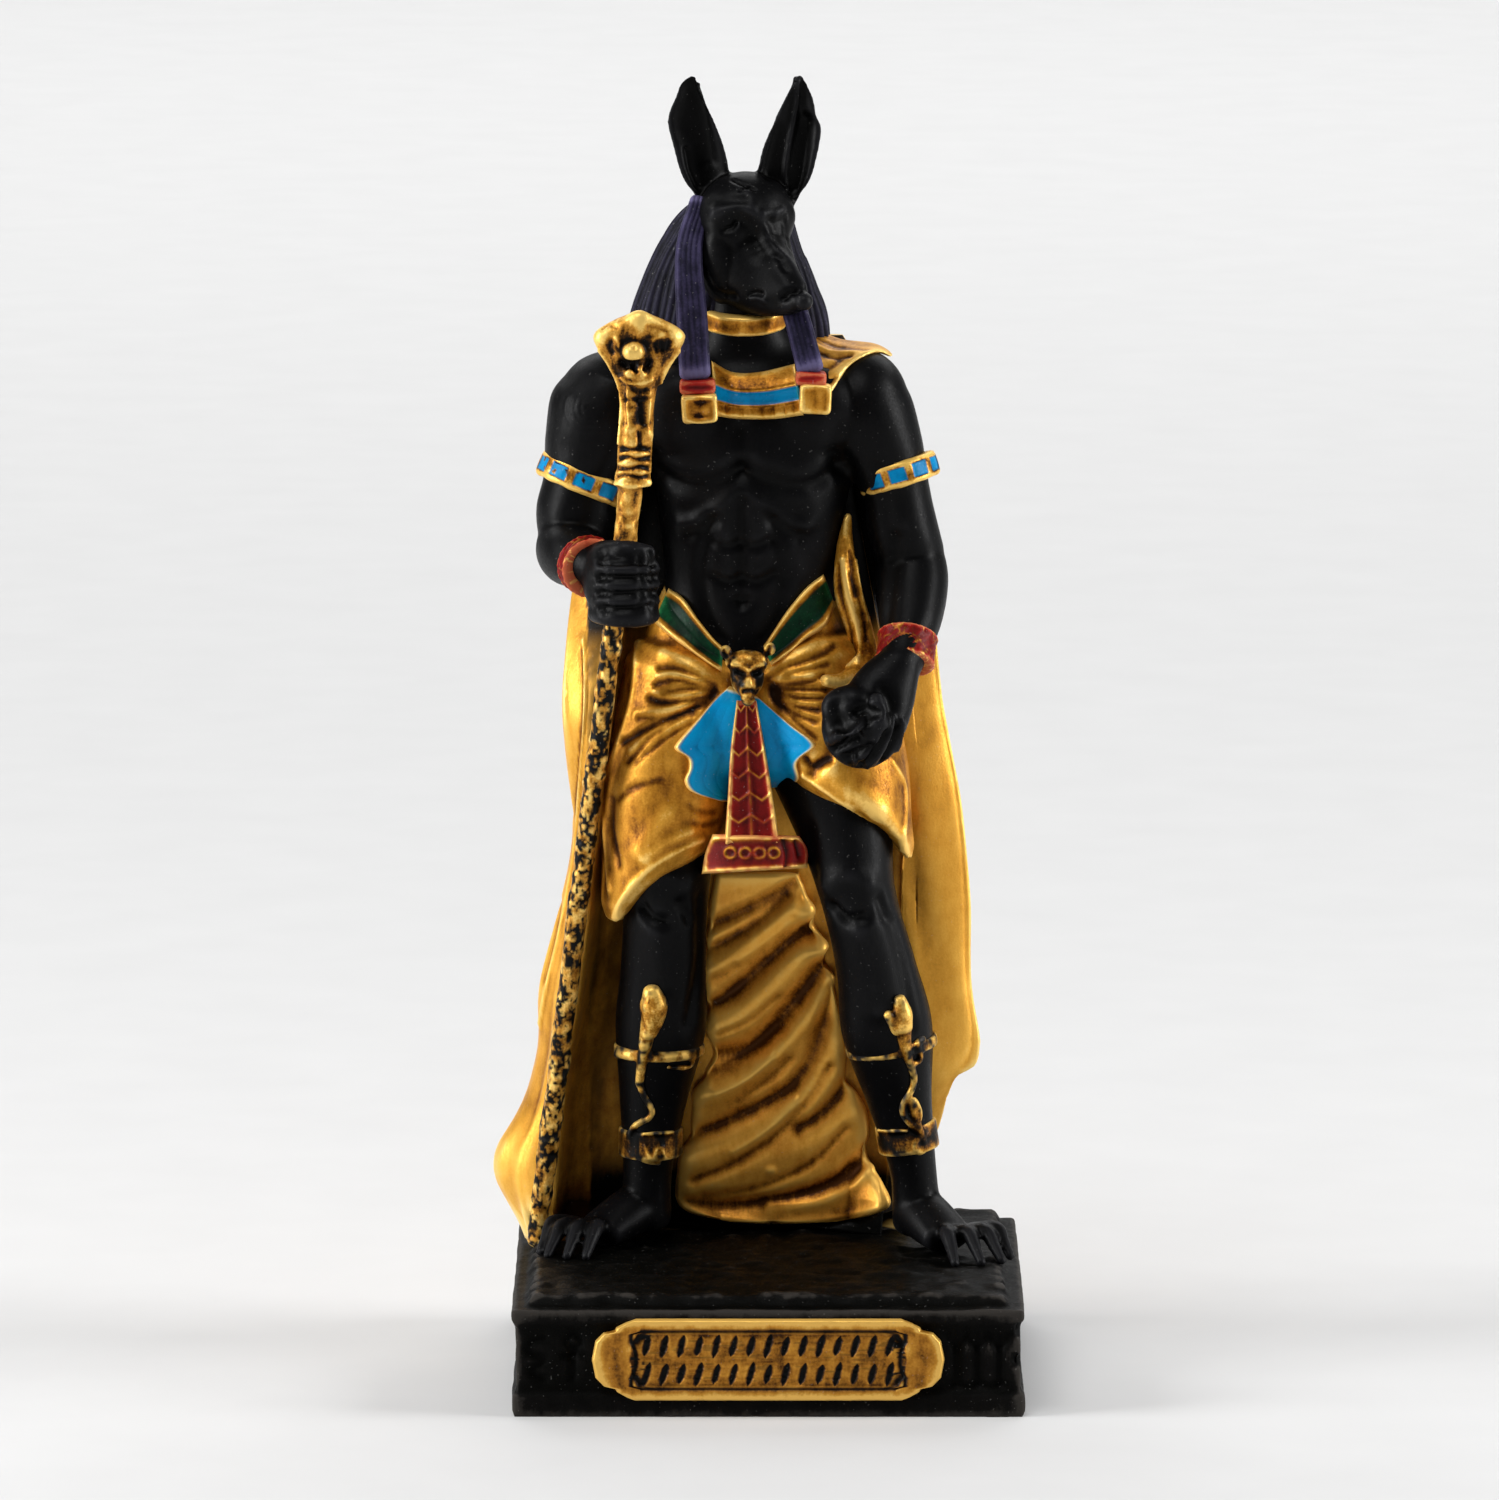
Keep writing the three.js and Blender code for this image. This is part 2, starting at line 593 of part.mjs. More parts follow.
// Folds that spread from the buckle like rays
const BUCKLE = [-1.5, -3.6, 40.4];
const KILT_FOLDS = 14;
const KILT_FOLD_DEPTH = 0.055;
const KNOT_RADIUS = 4;

function kiltFolds(angle, point) {
  const buckle = at(...BUCKLE);
  const [right, up] = [point.x - buckle.x, point.z - buckle.z];
  const fromBuckle = Math.min(1, Math.hypot(right, up) / (KNOT_RADIUS * unit));
  return 1 + KILT_FOLD_DEPTH * fromBuckle * Math.cos(KILT_FOLDS * Math.atan2(up, right));
}

function kilt() {
  const cloth = { sides: 32, steps: 14, swell: kiltFolds };
  const belly = plate([...WAISTLINE, [4.0, 60], [-7.3, 60]], WAIST_BACK, -20);
  const hips = [
    [-1.3, 2.4, 45.0, 5.9, 4.1],
    [-1.4, 2.2, 42.4, 6.8, 4.7],
    [-1.5, 2.0, 38.4, 7.9, 5.3],
    [-1.5, 1.8, 34.6, 7.4, 4.8],
  ];
  const rightFlap = [
    [-4.6, 2.0, 39.4, 5.2, 5.0],
    [-6.7, 1.6, 33.0, 4.7, 4.9],
    [-7.3, 1.2, 27.4, 4.0, 4.3],
    [-7.5, 1.2, 22.0, 3.9, 4.2],
  ];
  const leftFlap = [
    [2.2, 2.0, 39.4, 5.2, 5.0],
    [4.9, 0.4, 33.4, 4.4, 4.7],
    [5.9, -0.4, 28.6, 3.7, 4.2],
    [6.6, -0.6, 24.6, 3.5, 4.0],
  ];
  return [
    limb(hips, cloth).subtract(belly),
    limb(rightFlap, cloth).subtract(below(RIGHT_HEM)),
    limb(leftFlap, cloth).subtract(below(LEFT_HEM)),
  ];
}

// Belt, lion-head buckle, fan of feathers and apron, one over the other on the front of the kilt.
const FAN_LEFT = [[-6.5, 35.9], [-5.8, 34.8], [-5.7, 33.2], [-4.9, 32.4], [-3.0, 31.9]];
const FAN_RIGHT = [[0.6, 31.9], [2.2, 33.4], [2.2, 34.8], [3.4, 35.8]];

function apron() {
  const strap = { sides: 8, steps: 3 };
  const hem = [
    [-4.0, -4.0, 28.1, 1.5, 0.5],
    [-2.2, -4.4, 27.9, 1.5, 0.5],
    [0.4, -4.4, 28.0, 1.5, 0.5],
    [2.3, -3.9, 28.3, 1.5, 0.5],
  ];
  return [
    limb([[-7.8, 0.4, 45.2, 1.0, 0.6], [-5.8, -1.7, 43.2, 1.0, 0.6], [-3.4, -2.7, 41.0, 0.9, 0.6]], strap),
    limb([[5.2, 0.4, 45.4, 1.0, 0.6], [3.1, -1.7, 43.3, 1.0, 0.6], [0.3, -2.7, 41.1, 0.9, 0.6]], strap),
    egg(...BUCKLE, 1.5, 1.1, 2.0, 6),
    ...[-2.6, -0.4].map((x) => egg(x, -3.4, 41.6, 0.7, 0.6, 0.7)),
    plate([[-1.5, 40.0], ...FAN_LEFT, ...FAN_RIGHT], -2.4, -4.1),
    plate([[-2.2, 39.6], [-0.9, 39.6], [1.0, 29.4], [-3.2, 29.4]], -1.4, -4.6),
    limb(hem, { steps: 4 }),
  ];
}

// Cloak: an outline in plan for each height above the ground. It hangs from the shoulders, passes behind the
// legs as a curtain of slanting folds, and spreads on the ground at the viewer's left.
// Columns: height, then on the viewer's left the front edge and the side, the back, then on the right the
// side and the front edge, and the curtain.
const CLOAK = [
  [-0.3, -15.0, -16.4, 12.6, 8.6, 7.8, 7.6],
  [2.0, -15.0, -17.6, 12.9, 9.4, 8.0, 7.2],
  [5.0, -14.8, -18.9, 12.9, 10.4, 8.4, 6.9],
  [8.0, -14.5, -17.6, 12.6, 11.4, 8.6, 6.6],
  [11.4, -14.0, -16.4, 12.2, 12.0, 8.8, 6.3],
  [12.0, -13.9, -16.3, 12.1, 14.2, 8.9, 6.2],
  [14.0, -13.7, -16.1, 11.8, 14.1, 9.0, 6.0],
  [17.0, -13.2, -15.9, 11.4, 13.2, 9.2, 5.7],
  [23.0, -12.4, -15.0, 10.6, 13.4, 9.4, 5.0],
  [30.0, -11.7, -13.4, 9.8, 12.9, 9.4, 4.0],
  [38.0, -11.0, -14.0, 9.0, 11.6, 8.6, 3.2],
  [45.0, -10.6, -13.2, 8.4, 10.8, 7.4, 3.0],
  [53.0, -9.6, -11.8, 7.8, 8.9, 6.0, 3.0],
  [59.0, -8.6, -10.2, 7.0, 7.4, 5.4, 3.0],
  [62.4, -5.2, -6.6, 5.8, 5.0, 3.6, 3.0],
];
const [lowest, highest] = [CLOAK[0][0], CLOAK.at(-1)[0]];
const BACK_SHARE = 0.6;
const BACK_FOLDS = 10;
const BACK_FOLD_DEPTH = 0.5;

// The staff's line, from its foot to its head.
const STAFF_FOOT = [-15.8, 3.6, 0];
const STAFF_GRIP = [-9.9, -5.4, 48.0];
const STAFF_HEAD = [-9.0, -6.3, 59.0];

const mix = (low, high, share) => low + (high - low) * share;

function staffAt(height) {
  const [low, high] = height < STAFF_GRIP[2] ? [STAFF_FOOT, STAFF_GRIP] : [STAFF_GRIP, STAFF_HEAD];
  const share = (height - low[2]) / (high[2] - low[2]);
  return [mix(low[0], high[0], share), mix(low[1], high[1], share)];
}

function cloakAt(height) {
  const above = Math.max(1, CLOAK.findIndex(([z]) => z >= height));
  const [low, high] = [CLOAK[above - 1], CLOAK[above]];
  const share = THREE.MathUtils.smoothstep(height, low[0], high[0]);
  return low.map((value, column) => mix(value, high[column], share));
}

// The cloak's edge follows the staff up to the elbow, then draws back under the arm.
function frontEdgeAt(height) {
  const besideStaff = Math.min(staffAt(Math.max(height, 0))[1] + 1.0, 2.8);
  return mix(besideStaff, 1.6, THREE.MathUtils.smoothstep(height, 36, 47));
}

// On the right it draws back behind the foot.
const rightEdgeAt = (height) => mix(6.0, 3.4, THREE.MathUtils.smoothstep(height, 5, 12));

function cloakRing(height, count) {
  const [, leftFront, left, back, right, rightFront, curtain] = cloakAt(height);
  const middle = (left + right) / 2;
  const edge = frontEdgeAt(height);
  const plan = smoothLine([
    [leftFront, edge],
    [left, edge + 2.6],
    [mix(left, middle, 0.3), back * 0.88],
    [middle, back],
    [mix(right, middle, 0.3), back * 0.88],
    [right, 4.6],
    [rightFront, rightEdgeAt(height)],
    [rightFront - 1.2, curtain],
    [middle, curtain],
    [leftFront + 2.2, curtain],
  ].map(([x, y]) => new THREE.Vector3(x, y, height)));
  plan.closed = true;
  return Array.from({ length: count }, (_, j) => {
    const share = j / count;
    const point = plan.getPoint(share);
    if (share < BACK_SHARE) {
      const outward = new THREE.Vector3(point.x + 1.5, point.y - 3, 0).normalize();
      const depth = BACK_FOLD_DEPTH * Math.min(1, share * 8) * Math.min(1, (highest - height) / 20);
      point.addScaledVector(outward, depth * Math.sin(BACK_FOLDS * Math.PI * 2 * share + 0.06 * height));
    }
    return at(point.x, point.y, point.z);
  });
}

// The curtain's folds sweep up to the right, steeper as they go. Its rings follow them.
const [CURTAIN_LEFT, CURTAIN_RIGHT, CURTAIN_TOP] = [-6.8, 8.4, 34];
const CURTAIN_FOLD_SPACING = 4.2;
const CURTAIN_FOLD_DEPTH = 0.6;
const CURTAIN_THICKNESS = 1.5;
const RINGS_A_FOLD = 6;
const COLUMNS = 12;

function curtain() {
  const sweepAt = (x) => 0.45 * (x + 5) + 0.08 * (x + 5) ** 2;
  const xAt = (j) => mix(CURTAIN_LEFT, CURTAIN_RIGHT, j / COLUMNS);
  const columns = Array.from({ length: COLUMNS + 1 }, (_, j) => xAt(j));
  const start = lowest - sweepAt(CURTAIN_RIGHT);
  const rings = Math.ceil(((CURTAIN_TOP + 1 - start) * RINGS_A_FOLD) / CURTAIN_FOLD_SPACING);
  const cloth = loft(
    Array.from({ length: rings + 1 }, (_, i) => {
      const low = start + (i * CURTAIN_FOLD_SPACING) / RINGS_A_FOLD;
      const depth = CURTAIN_FOLD_DEPTH * (1 + Math.sin((2 * Math.PI * i) / RINGS_A_FOLD));
      const pointAt = (x, forward) => {
        const z = low + sweepAt(x);
        return at(x, cloakAt(Math.min(Math.max(z, lowest), highest))[6] - forward, z);
      };
      const backColumns = columns.toReversed();
      return [
        ...columns.map((x) => pointAt(x, depth)),
        ...backColumns.map((x) => pointAt(x, -CURTAIN_THICKNESS)),
      ];
    }),
  );
  const high = (CURTAIN_TOP - lowest) * unit;
  return cloth.intersect(block(BASE_WIDTH, BASE_DEPTH, high, 0, 0, ground + lowest * unit + high / 2));
}

function cloak() {
  const rows = 60;
  const heights = Array.from({ length: rows + 1 }, (_, i) => mix(lowest, highest, i / rows));
  const body = loft(heights.map((height) => cloakRing(height, 84)));
  const leftShoulder = [
    [0.6, 2.8, 62.2, 1.5, 1.5],
    [4.0, 2.6, 61.2, 1.5, 1.4],
    [6.8, 3.4, 59.8, 1.4, 1.3],
    [8.2, 4.6, 57.8, 1.3, 1.3],
  ];
  const collarbone = [
    [3.6, 0.8, 62.6, 1.1, 1.0],
    [4.6, -1.4, 61.2, 1.1, 0.9],
    [4.8, -2.8, 59.4, 0.6, 0.5],
  ];
  const rightShoulder = [
    [-3.6, 2.8, 63.6, 1.6, 1.6],
    [-7.0, 2.6, 62.4, 1.7, 1.5],
    [-10.0, 3.6, 60.4, 1.5, 1.4],
    [-11.0, 4.8, 57.6, 1.4, 1.4],
  ];
  const sash = [
    [5.9, 1.6, 50.2, 0.4, 0.4],
    [5.4, 0.8, 47.2, 0.95, 0.7],
    [6.0, 0.4, 43.2, 0.8, 0.8],
    [5.4, -1.8, 41.0, 0.8, 0.8],
  ];
  return [
    body,
    curtain(),
    limb(leftShoulder),
    limb(collarbone, { sides: 6, steps: 3 }),
    limb(rightShoulder),
    limb(sash, { sides: 6, steps: 4 }),
  ];
}

// Staff: a straight rod, rings, and a rearing cobra that spreads its hood.
function staff() {
  const radius = STAFF_RADIUS / unit;
  const rod = [
    [STAFF_FOOT, STAFF_GRIP],
    [STAFF_GRIP, STAFF_HEAD],
  ].map((ends) => limb(ends.map((end) => [...end, radius]), { sides: 8, steps: 1 }));
  const ringRadius = (STAFF_RING_RADIUS - BAND_RELIEF) / unit;
  const rings = [0, 1, 2, 3].map((i) => {
    const height = 53.2 + (i * STAFF_RING_SPACING) / unit;
    return band(...staffAt(height), height, UP.clone(), ringRadius, ringRadius, STAFF_RING_HEIGHT, 8);
  });
  const neck = [
    [-9.3, -5.9, 55.6, 1.1, 1.0],
    [-9.1, -6.1, 59.0, 1.1, 1.0],
    [-9.0, -6.0, 62.0, 1.7, 0.9],
  ];
  const hood = [
    [-8.9, -5.9, 60.6, 0.9, 0.7],
    [-8.7, -6.0, 62.4, 2.2, 0.85],
    [-8.6, -6.0, 64.0, 3.15, 1.0],
    [-8.6, -6.1, 65.0, 1.8, 1.0],
    [-8.6, -6.2, 65.5, 0.8, 0.7],
  ];
  const snout = [
    [-8.7, -6.4, 64.2, 1.2, 1.0],
    [-8.7, -7.7, 63.0, 0.95, 0.75],
    [-8.7, -8.5, 62.2, 0.65, 0.5],
  ];
  return [
    ...rod,
    ...rings,
    limb(neck, { steps: 3 }),
    limb(hood, { sides: 8, steps: 8 }),
    limb(snout, { sides: 6, steps: 3, facing: UP }),
  ];
}

// A slab with softened edges, for the lip of the base and the ground on it.
function softSlab(wide, deep, bottom, top, round) {
  const [x, y] = [wide / 2 - round, deep / 2 - round];
  const corners = [[-x, -y], [x, -y], [x, y], [-x, y]];
  const outline = new THREE.Shape(corners.map((corner) => new THREE.Vector2(...corner)));
  const slab = new THREE.ExtrudeGeometry(outline, {
    depth: top - bottom - 2 * round,
    bevelThickness: round,
    bevelSize: round,
    bevelSegments: 1,
  });
  return solidOf(slab.translate(0, 0, bottom + round));
}

// Ground: a low mound with sloping sides on top of the base.
function groundMound() {
  const layer = (inset, height) => {
    const [x, y] = [BASE_WIDTH / 2 - inset, BASE_DEPTH / 2 - inset];
    return [[-x, -y], [x, -y], [x, y], [-x, y]].map((corner) => new THREE.Vector3(...corner, height));
  };
  return loft([
    layer(LIP_ROUND, BASE_HEIGHT - LIP_HEIGHT),
    layer(LIP_ROUND, BASE_HEIGHT),
    layer(LIP_ROUND + GROUND_SLOPE_WIDTH, ground),
  ]);
}

// The nameplate's outline: straight above and below, drawn in to a rounded tongue at each end.
function nameplate(wide, high, back, front) {
  const [x, z] = [wide / 2, high / 2];
  const outline = new THREE.Shape();
  outline.moveTo(-0.8 * x, z);
  outline.lineTo(0.8 * x, z);
  outline.quadraticCurveTo(0.86 * x, 0.75 * z, 0.93 * x, 0.55 * z);
  outline.quadraticCurveTo(1.07 * x, 0, 0.93 * x, -0.55 * z);
  outline.quadraticCurveTo(0.86 * x, -0.75 * z, 0.8 * x, -z);
  outline.lineTo(-0.8 * x, -z);
  outline.quadraticCurveTo(-0.86 * x, -0.75 * z, -0.93 * x, -0.55 * z);
  outline.quadraticCurveTo(-1.07 * x, 0, -0.93 * x, 0.55 * z);
  outline.quadraticCurveTo(-0.86 * x, 0.75 * z, -0.8 * x, z);
  const depth = back - front;
  const sheet = new THREE.ExtrudeGeometry(outline, { depth, bevelEnabled: false, curveSegments: 3 });
  sheet.rotateX(Math.PI / 2);
  sheet.translate(0, back, (BASE_HEIGHT - LIP_HEIGHT + FOOT_BAND_HEIGHT) / 2);
  return solidOf(sheet);
}

function base() {
  const panelFront = -BASE_DEPTH / 2 + PANEL_INSET;
  const panelHeight = BASE_HEIGHT - LIP_HEIGHT - FOOT_BAND_HEIGHT;
  const panelMiddle = FOOT_BAND_HEIGHT + panelHeight / 2;
  const inner = [BASE_WIDTH - 2 * PANEL_INSET, BASE_DEPTH - 2 * PANEL_INSET];
  const panel = block(...inner, BASE_HEIGHT - LIP_ROUND, 0, 0, (BASE_HEIGHT - LIP_ROUND) / 2);
  const footBand = block(BASE_WIDTH, BASE_DEPTH, FOOT_BAND_HEIGHT, 0, 0, FOOT_BAND_HEIGHT / 2);
  const lip = softSlab(BASE_WIDTH, BASE_DEPTH, BASE_HEIGHT - LIP_HEIGHT, BASE_HEIGHT, LIP_ROUND);

  const plateFront = panelFront - PLATE_RELIEF;
  const fieldFront = plateFront + PLATE_FIELD_DEPTH;
  const body = nameplate(PLATE_WIDTH, PLATE_HEIGHT, panelFront + ROOT, plateFront);
  const [fieldWidth, fieldHeight] = [PLATE_WIDTH - 2 * PLATE_RIM, PLATE_HEIGHT - 2 * PLATE_RIM];
  const field = nameplate(fieldWidth, fieldHeight, fieldFront, plateFront - ROOT);
  const strokes = [];
  const lastStroke = 0.36 * PLATE_WIDTH;
  const strokeMiddle = fieldFront + (ROOT - STROKE_RELIEF) / 2;
  for (const row of [-0.5, 0.5]) {
    for (let x = -lastStroke; x <= lastStroke; x += STROKE_SPACING) {
      const z = panelMiddle + row * STROKE_ROW_SPACING;
      strokes.push(block(STROKE_WIDTH, STROKE_RELIEF + ROOT, STROKE_HEIGHT, x, strokeMiddle, z));
    }
  }

  const rowMiddle = (BASE_WIDTH / 2 - PANEL_INSET + PLATE_WIDTH / 2) / 2;
  const columns = [-1, 0, 1].flatMap((i) => {
    const x = rowMiddle + i * COLUMN_SPACING;
    const [high, capital] = [0.7 * panelHeight, panelMiddle + 0.3 * panelHeight];
    return [
      block(COLUMN_WIDTH, 2 * COLUMN_DEPTH, high, x, panelFront, panelMiddle),
      block(COLUMN_CAPITAL_WIDTH, 2 * COLUMN_DEPTH, COLUMN_WIDTH, x, panelFront, capital),
    ];
  });
  return joined([panel.subtract(joined(columns)), lip, footBand, groundMound(), body])
    .subtract(field)
    .add(joined(strokes));
}

const casting = joined([
  base(),
  ...torso(),
  ...arms(),
  ...rightHand(),
  ...leftHand(),
  ...legs(),
  ...feet(),
  ...head(),
  ...ears(),
  ...wig(),
  ...jewellery(),
  ...shinCobras(),
  ...kilt(),
  ...apron(),
  ...cloak(),
  ...staff(),
]);

function geometryOf(solid) {
  const { vertProperties, triVerts } = solid.getMesh();
  const geometry = new THREE.BufferGeometry();
  geometry.setAttribute("position", new THREE.BufferAttribute(vertProperties, 3));
  geometry.setIndex(new THREE.BufferAttribute(triVerts, 1));
  geometry.computeVertexNormals();
  return geometry;
}

const paintedResin = new THREE.MeshStandardMaterial({ color: 0x17171b, roughness: 0.55, metalness: 0 });
const statuette = new THREE.Mesh(geometryOf(withFewerFacets(casting, FACET_TOLERANCE)), paintedResin);
statuette.name = "anubis_statuette";

const part = new THREE.Group();
part.name = "anubis_standing_statue";
part.add(statuette);

export default part;
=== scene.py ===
import bpy
import math
import numpy as np
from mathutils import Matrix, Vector
from mathutils.bvhtree import BVHTree


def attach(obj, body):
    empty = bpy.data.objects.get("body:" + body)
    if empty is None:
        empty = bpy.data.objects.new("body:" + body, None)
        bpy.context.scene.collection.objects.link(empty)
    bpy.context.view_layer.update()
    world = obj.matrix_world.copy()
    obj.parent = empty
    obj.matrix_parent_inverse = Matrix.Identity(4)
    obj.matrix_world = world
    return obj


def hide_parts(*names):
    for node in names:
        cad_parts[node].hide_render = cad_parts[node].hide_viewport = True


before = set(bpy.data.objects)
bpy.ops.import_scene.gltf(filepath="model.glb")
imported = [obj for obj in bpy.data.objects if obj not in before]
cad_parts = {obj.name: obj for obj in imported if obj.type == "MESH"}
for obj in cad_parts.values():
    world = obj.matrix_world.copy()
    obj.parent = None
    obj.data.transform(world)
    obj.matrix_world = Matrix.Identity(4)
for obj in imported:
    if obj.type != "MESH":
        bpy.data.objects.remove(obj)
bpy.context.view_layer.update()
bpy.ops.object.select_all(action="DESELECT")

# Camera: it looks at the statuette from the front and a little from above, through a long lens.
# Marks on the pieces are noted in pixels of the picture that it takes, 1499 wide and 1500 high.
MM = 0.001
TILT = math.radians(9.65)
DISTANCE = 800.0
AIM = np.array([-1.25, 0.0, 42.74])
PIXELS_A_MM = 14.786
PICTURE_HEIGHT, PICTURE_MIDDLE = 1500, 750
SENSOR_WIDTH = 36
INWARDS = np.array([0.0, math.cos(TILT), -math.sin(TILT)])
UPWARDS = np.array([0.0, math.sin(TILT), math.cos(TILT)])
EYE = AIM - DISTANCE * INWARDS

bpy.ops.object.camera_add(location=EYE * MM, rotation=(math.pi / 2 - TILT, 0, 0))
camera = bpy.context.object
camera.name = "camera"
camera.data.sensor_width = SENSOR_WIDTH
camera.data.lens = PIXELS_A_MM * DISTANCE / PICTURE_HEIGHT * SENSOR_WIDTH
camera.data.clip_start = 0.05
bpy.context.scene.camera = camera


def sight(marks):
    # The directions in which the camera sees the marks
    marks = np.asarray(marks, float)
    right, up = (marks[..., 0] - PICTURE_MIDDLE) / PIXELS_A_MM, (PICTURE_MIDDLE - marks[..., 1]) / PIXELS_A_MM
    ray = AIM - EYE + right[..., None] * np.array([1.0, 0, 0]) + up[..., None] * UPWARDS
    return ray / np.linalg.norm(ray, axis=-1, keepdims=True)


def placed(marks, depth):
    # The points at the given depth, y, that the camera sees at the marks
    ray = sight(marks)
    return EYE + ray * ((np.asarray(depth) - EYE[1]) / ray[..., 1])[..., None]


def seen_on(form, marks):
    # The points of a form that the camera sees at the marks
    tree, found = form[2], []
    for ray in sight(marks).reshape(-1, 3):
        point = tree.ray_cast(Vector(EYE), Vector(ray))[0]
        if point is None:
            point = tree.find_nearest(Vector(EYE + ray * DISTANCE))[0]
        found.append(point)
    return np.array(found).reshape(np.asarray(marks).shape[:-1] + (3,))


# Base: a square block with a lip, a framed panel on each side and a foot band, cast with the figure.
# On top lies rough ground, and everything is painted black. Edges are soft and a little chipped.
BASE_WIDTH, BASE_DEPTH, BASE_HEIGHT = 34.5, 30.5, 7.35
LIP_HEIGHT, LIP_ROUND, FOOT_BAND_HEIGHT = 0.95, 0.3, 1.5
PANEL_INSET = 0.28
GROUND_RISE, GROUND_SLOPE_WIDTH = 0.7, 1.3
GROUND = BASE_HEIGHT + GROUND_RISE
MOTTLE_SIZE, STREAK_SIZE, GRAIN_SIZE, SPECK_SIZE, GRAIN_DEPTH = 1.3, 0.5, 0.16, 0.17, 0.04
DUST_COLOUR = (205, 203, 198)
# Reach and depth of the narrow and broad hollows that the paint darkens, partly as a wash and partly as
# painted shade
NARROW_HOLLOW, BROAD_HOLLOW = (0.5, 0.13), (3.0, 0.7)
STROKE_RUN, STROKE_REACH = 20, 2.6


def outwards(points, faces):
    # A closed shell with its faces turned so that they enclose a positive volume
    a, b, c, d = (points[faces[:, i]] for i in range(4))
    volume = (np.cross(a, b) * c).sum() + (np.cross(a, c) * d).sum()
    return (points, faces[:, ::-1].copy()) if volume < 0 else (points, faces)


def joined(shells):
    points, faces, start = [], [], 0
    for shell in shells:
        points.append(shell[0])
        faces.append(shell[1] + start)
        start += len(shell[0])
    return np.vstack(points), np.vstack(faces)


def with_tree(shell):
    points, faces = shell[:2]
    return points, faces, BVHTree.FromPolygons(points.tolist(), faces.tolist())


def normals_of(points, faces):
    a, b, c, d = (points[faces[:, i]] for i in range(4))
    slope = np.cross(c - a, d - b)
    total = np.zeros_like(points)
    for corner in range(4):
        for axis in range(3):
            total[:, axis] += np.bincount(faces[:, corner], slope[:, axis], len(points))
    return total / np.maximum(np.linalg.norm(total, axis=1, keepdims=True), 1e-12)


def eased(values, faces, passes):
    # Values averaged with those of the neighbouring points, again and again
    values = np.asarray(values, float)
    one = values.ndim == 1
    values = values[:, None] if one else values.copy()
    start = faces.ravel()
    end = np.roll(faces, -1, axis=1).ravel()
    apart = start != end
    start, end = start[apart], end[apart]
    count = len(values)
    number = np.maximum(np.bincount(start, minlength=count) + np.bincount(end, minlength=count), 1)
    for _ in range(passes):
        for axis in range(values.shape[1]):
            column = values[:, axis]
            total = np.bincount(start, column[end], count) + np.bincount(end, column[start], count)
            values[:, axis] = total / number
    return values[:, 0] if one else values


def rough(points, size, seed):
    # Smooth random heights from -1 to 1, about one bump for each size
    table = np.random.default_rng(seed).uniform(-1, 1, (32, 32, 32))
    place = points / size
    low = np.floor(place).astype(int)
    share = place - low
    share = share * share * (3 - 2 * share)
    total = np.zeros(len(points))
    for corner in np.ndindex(2, 2, 2):
        weight = np.ones(len(points))
        for axis, step in enumerate(corner):
            weight *= share[:, axis] if step else 1 - share[:, axis]
        cell = (low + corner) % 32
        total += weight * table[cell[:, 0], cell[:, 1], cell[:, 2]]
    return total


def box_shell(low, high):
    (x0, y0, z0), (x1, y1, z1) = low, high
    points = np.array([(x, y, z) for x in (x0, x1) for y in (y0, y1) for z in (z0, z1)], float)
    faces = [(0, 1, 3, 2), (4, 6, 7, 5), (0, 4, 5, 1), (2, 3, 7, 6), (0, 2, 6, 4), (1, 5, 7, 3)]
    return outwards(points, np.array(faces))


def placed_object(name, points, faces):
    # An object made of the shell, selected and active
    mesh = bpy.data.meshes.new(name)
    mesh.from_pydata(points.tolist(), [], [list(dict.fromkeys(face)) for face in faces.tolist()])
    thing = bpy.data.objects.new(name, mesh)
    bpy.context.collection.objects.link(thing)
    bpy.context.view_layer.objects.active = thing
    thing.select_set(True)
    return thing


def as_one(shells, voxel, passes):
    # One closed skin round shells that overlap, with its joints softened
    clay = placed_object("clay", *joined(shells))
    remesh = clay.modifiers.new("Remesh", "REMESH")
    remesh.mode, remesh.voxel_size = "VOXEL", voxel
    bpy.ops.object.modifier_apply(modifier="Remesh")
    smooth = clay.modifiers.new("Smooth", "SMOOTH")
    smooth.factor, smooth.iterations = 0.5, passes
    bpy.ops.object.modifier_apply(modifier="Smooth")
    mesh = clay.data
    points = np.zeros(len(mesh.vertices) * 3)
    mesh.vertices.foreach_get("co", points)
    sizes = np.zeros(len(mesh.polygons), int)
    mesh.polygons.foreach_get("loop_total", sizes)
    corners = np.zeros(len(mesh.loops), int)
    mesh.loops.foreach_get("vertex_index", corners)
    starts = np.cumsum(sizes) - sizes
    faces = corners[starts[:, None] + np.minimum(np.arange(4), sizes[:, None] - 1)]
    bpy.data.objects.remove(clay)
    return points.reshape(-1, 3), faces


def linear(red, green, blue):
    # A colour as a screen shows it, from 0 to 255, in the renderer's own measure
    share = np.array([red, green, blue]) / 255
    return (*np.where(share > 0.04045, ((share + 0.055) / 1.055) ** 2.4, share / 12.92), 1.0)


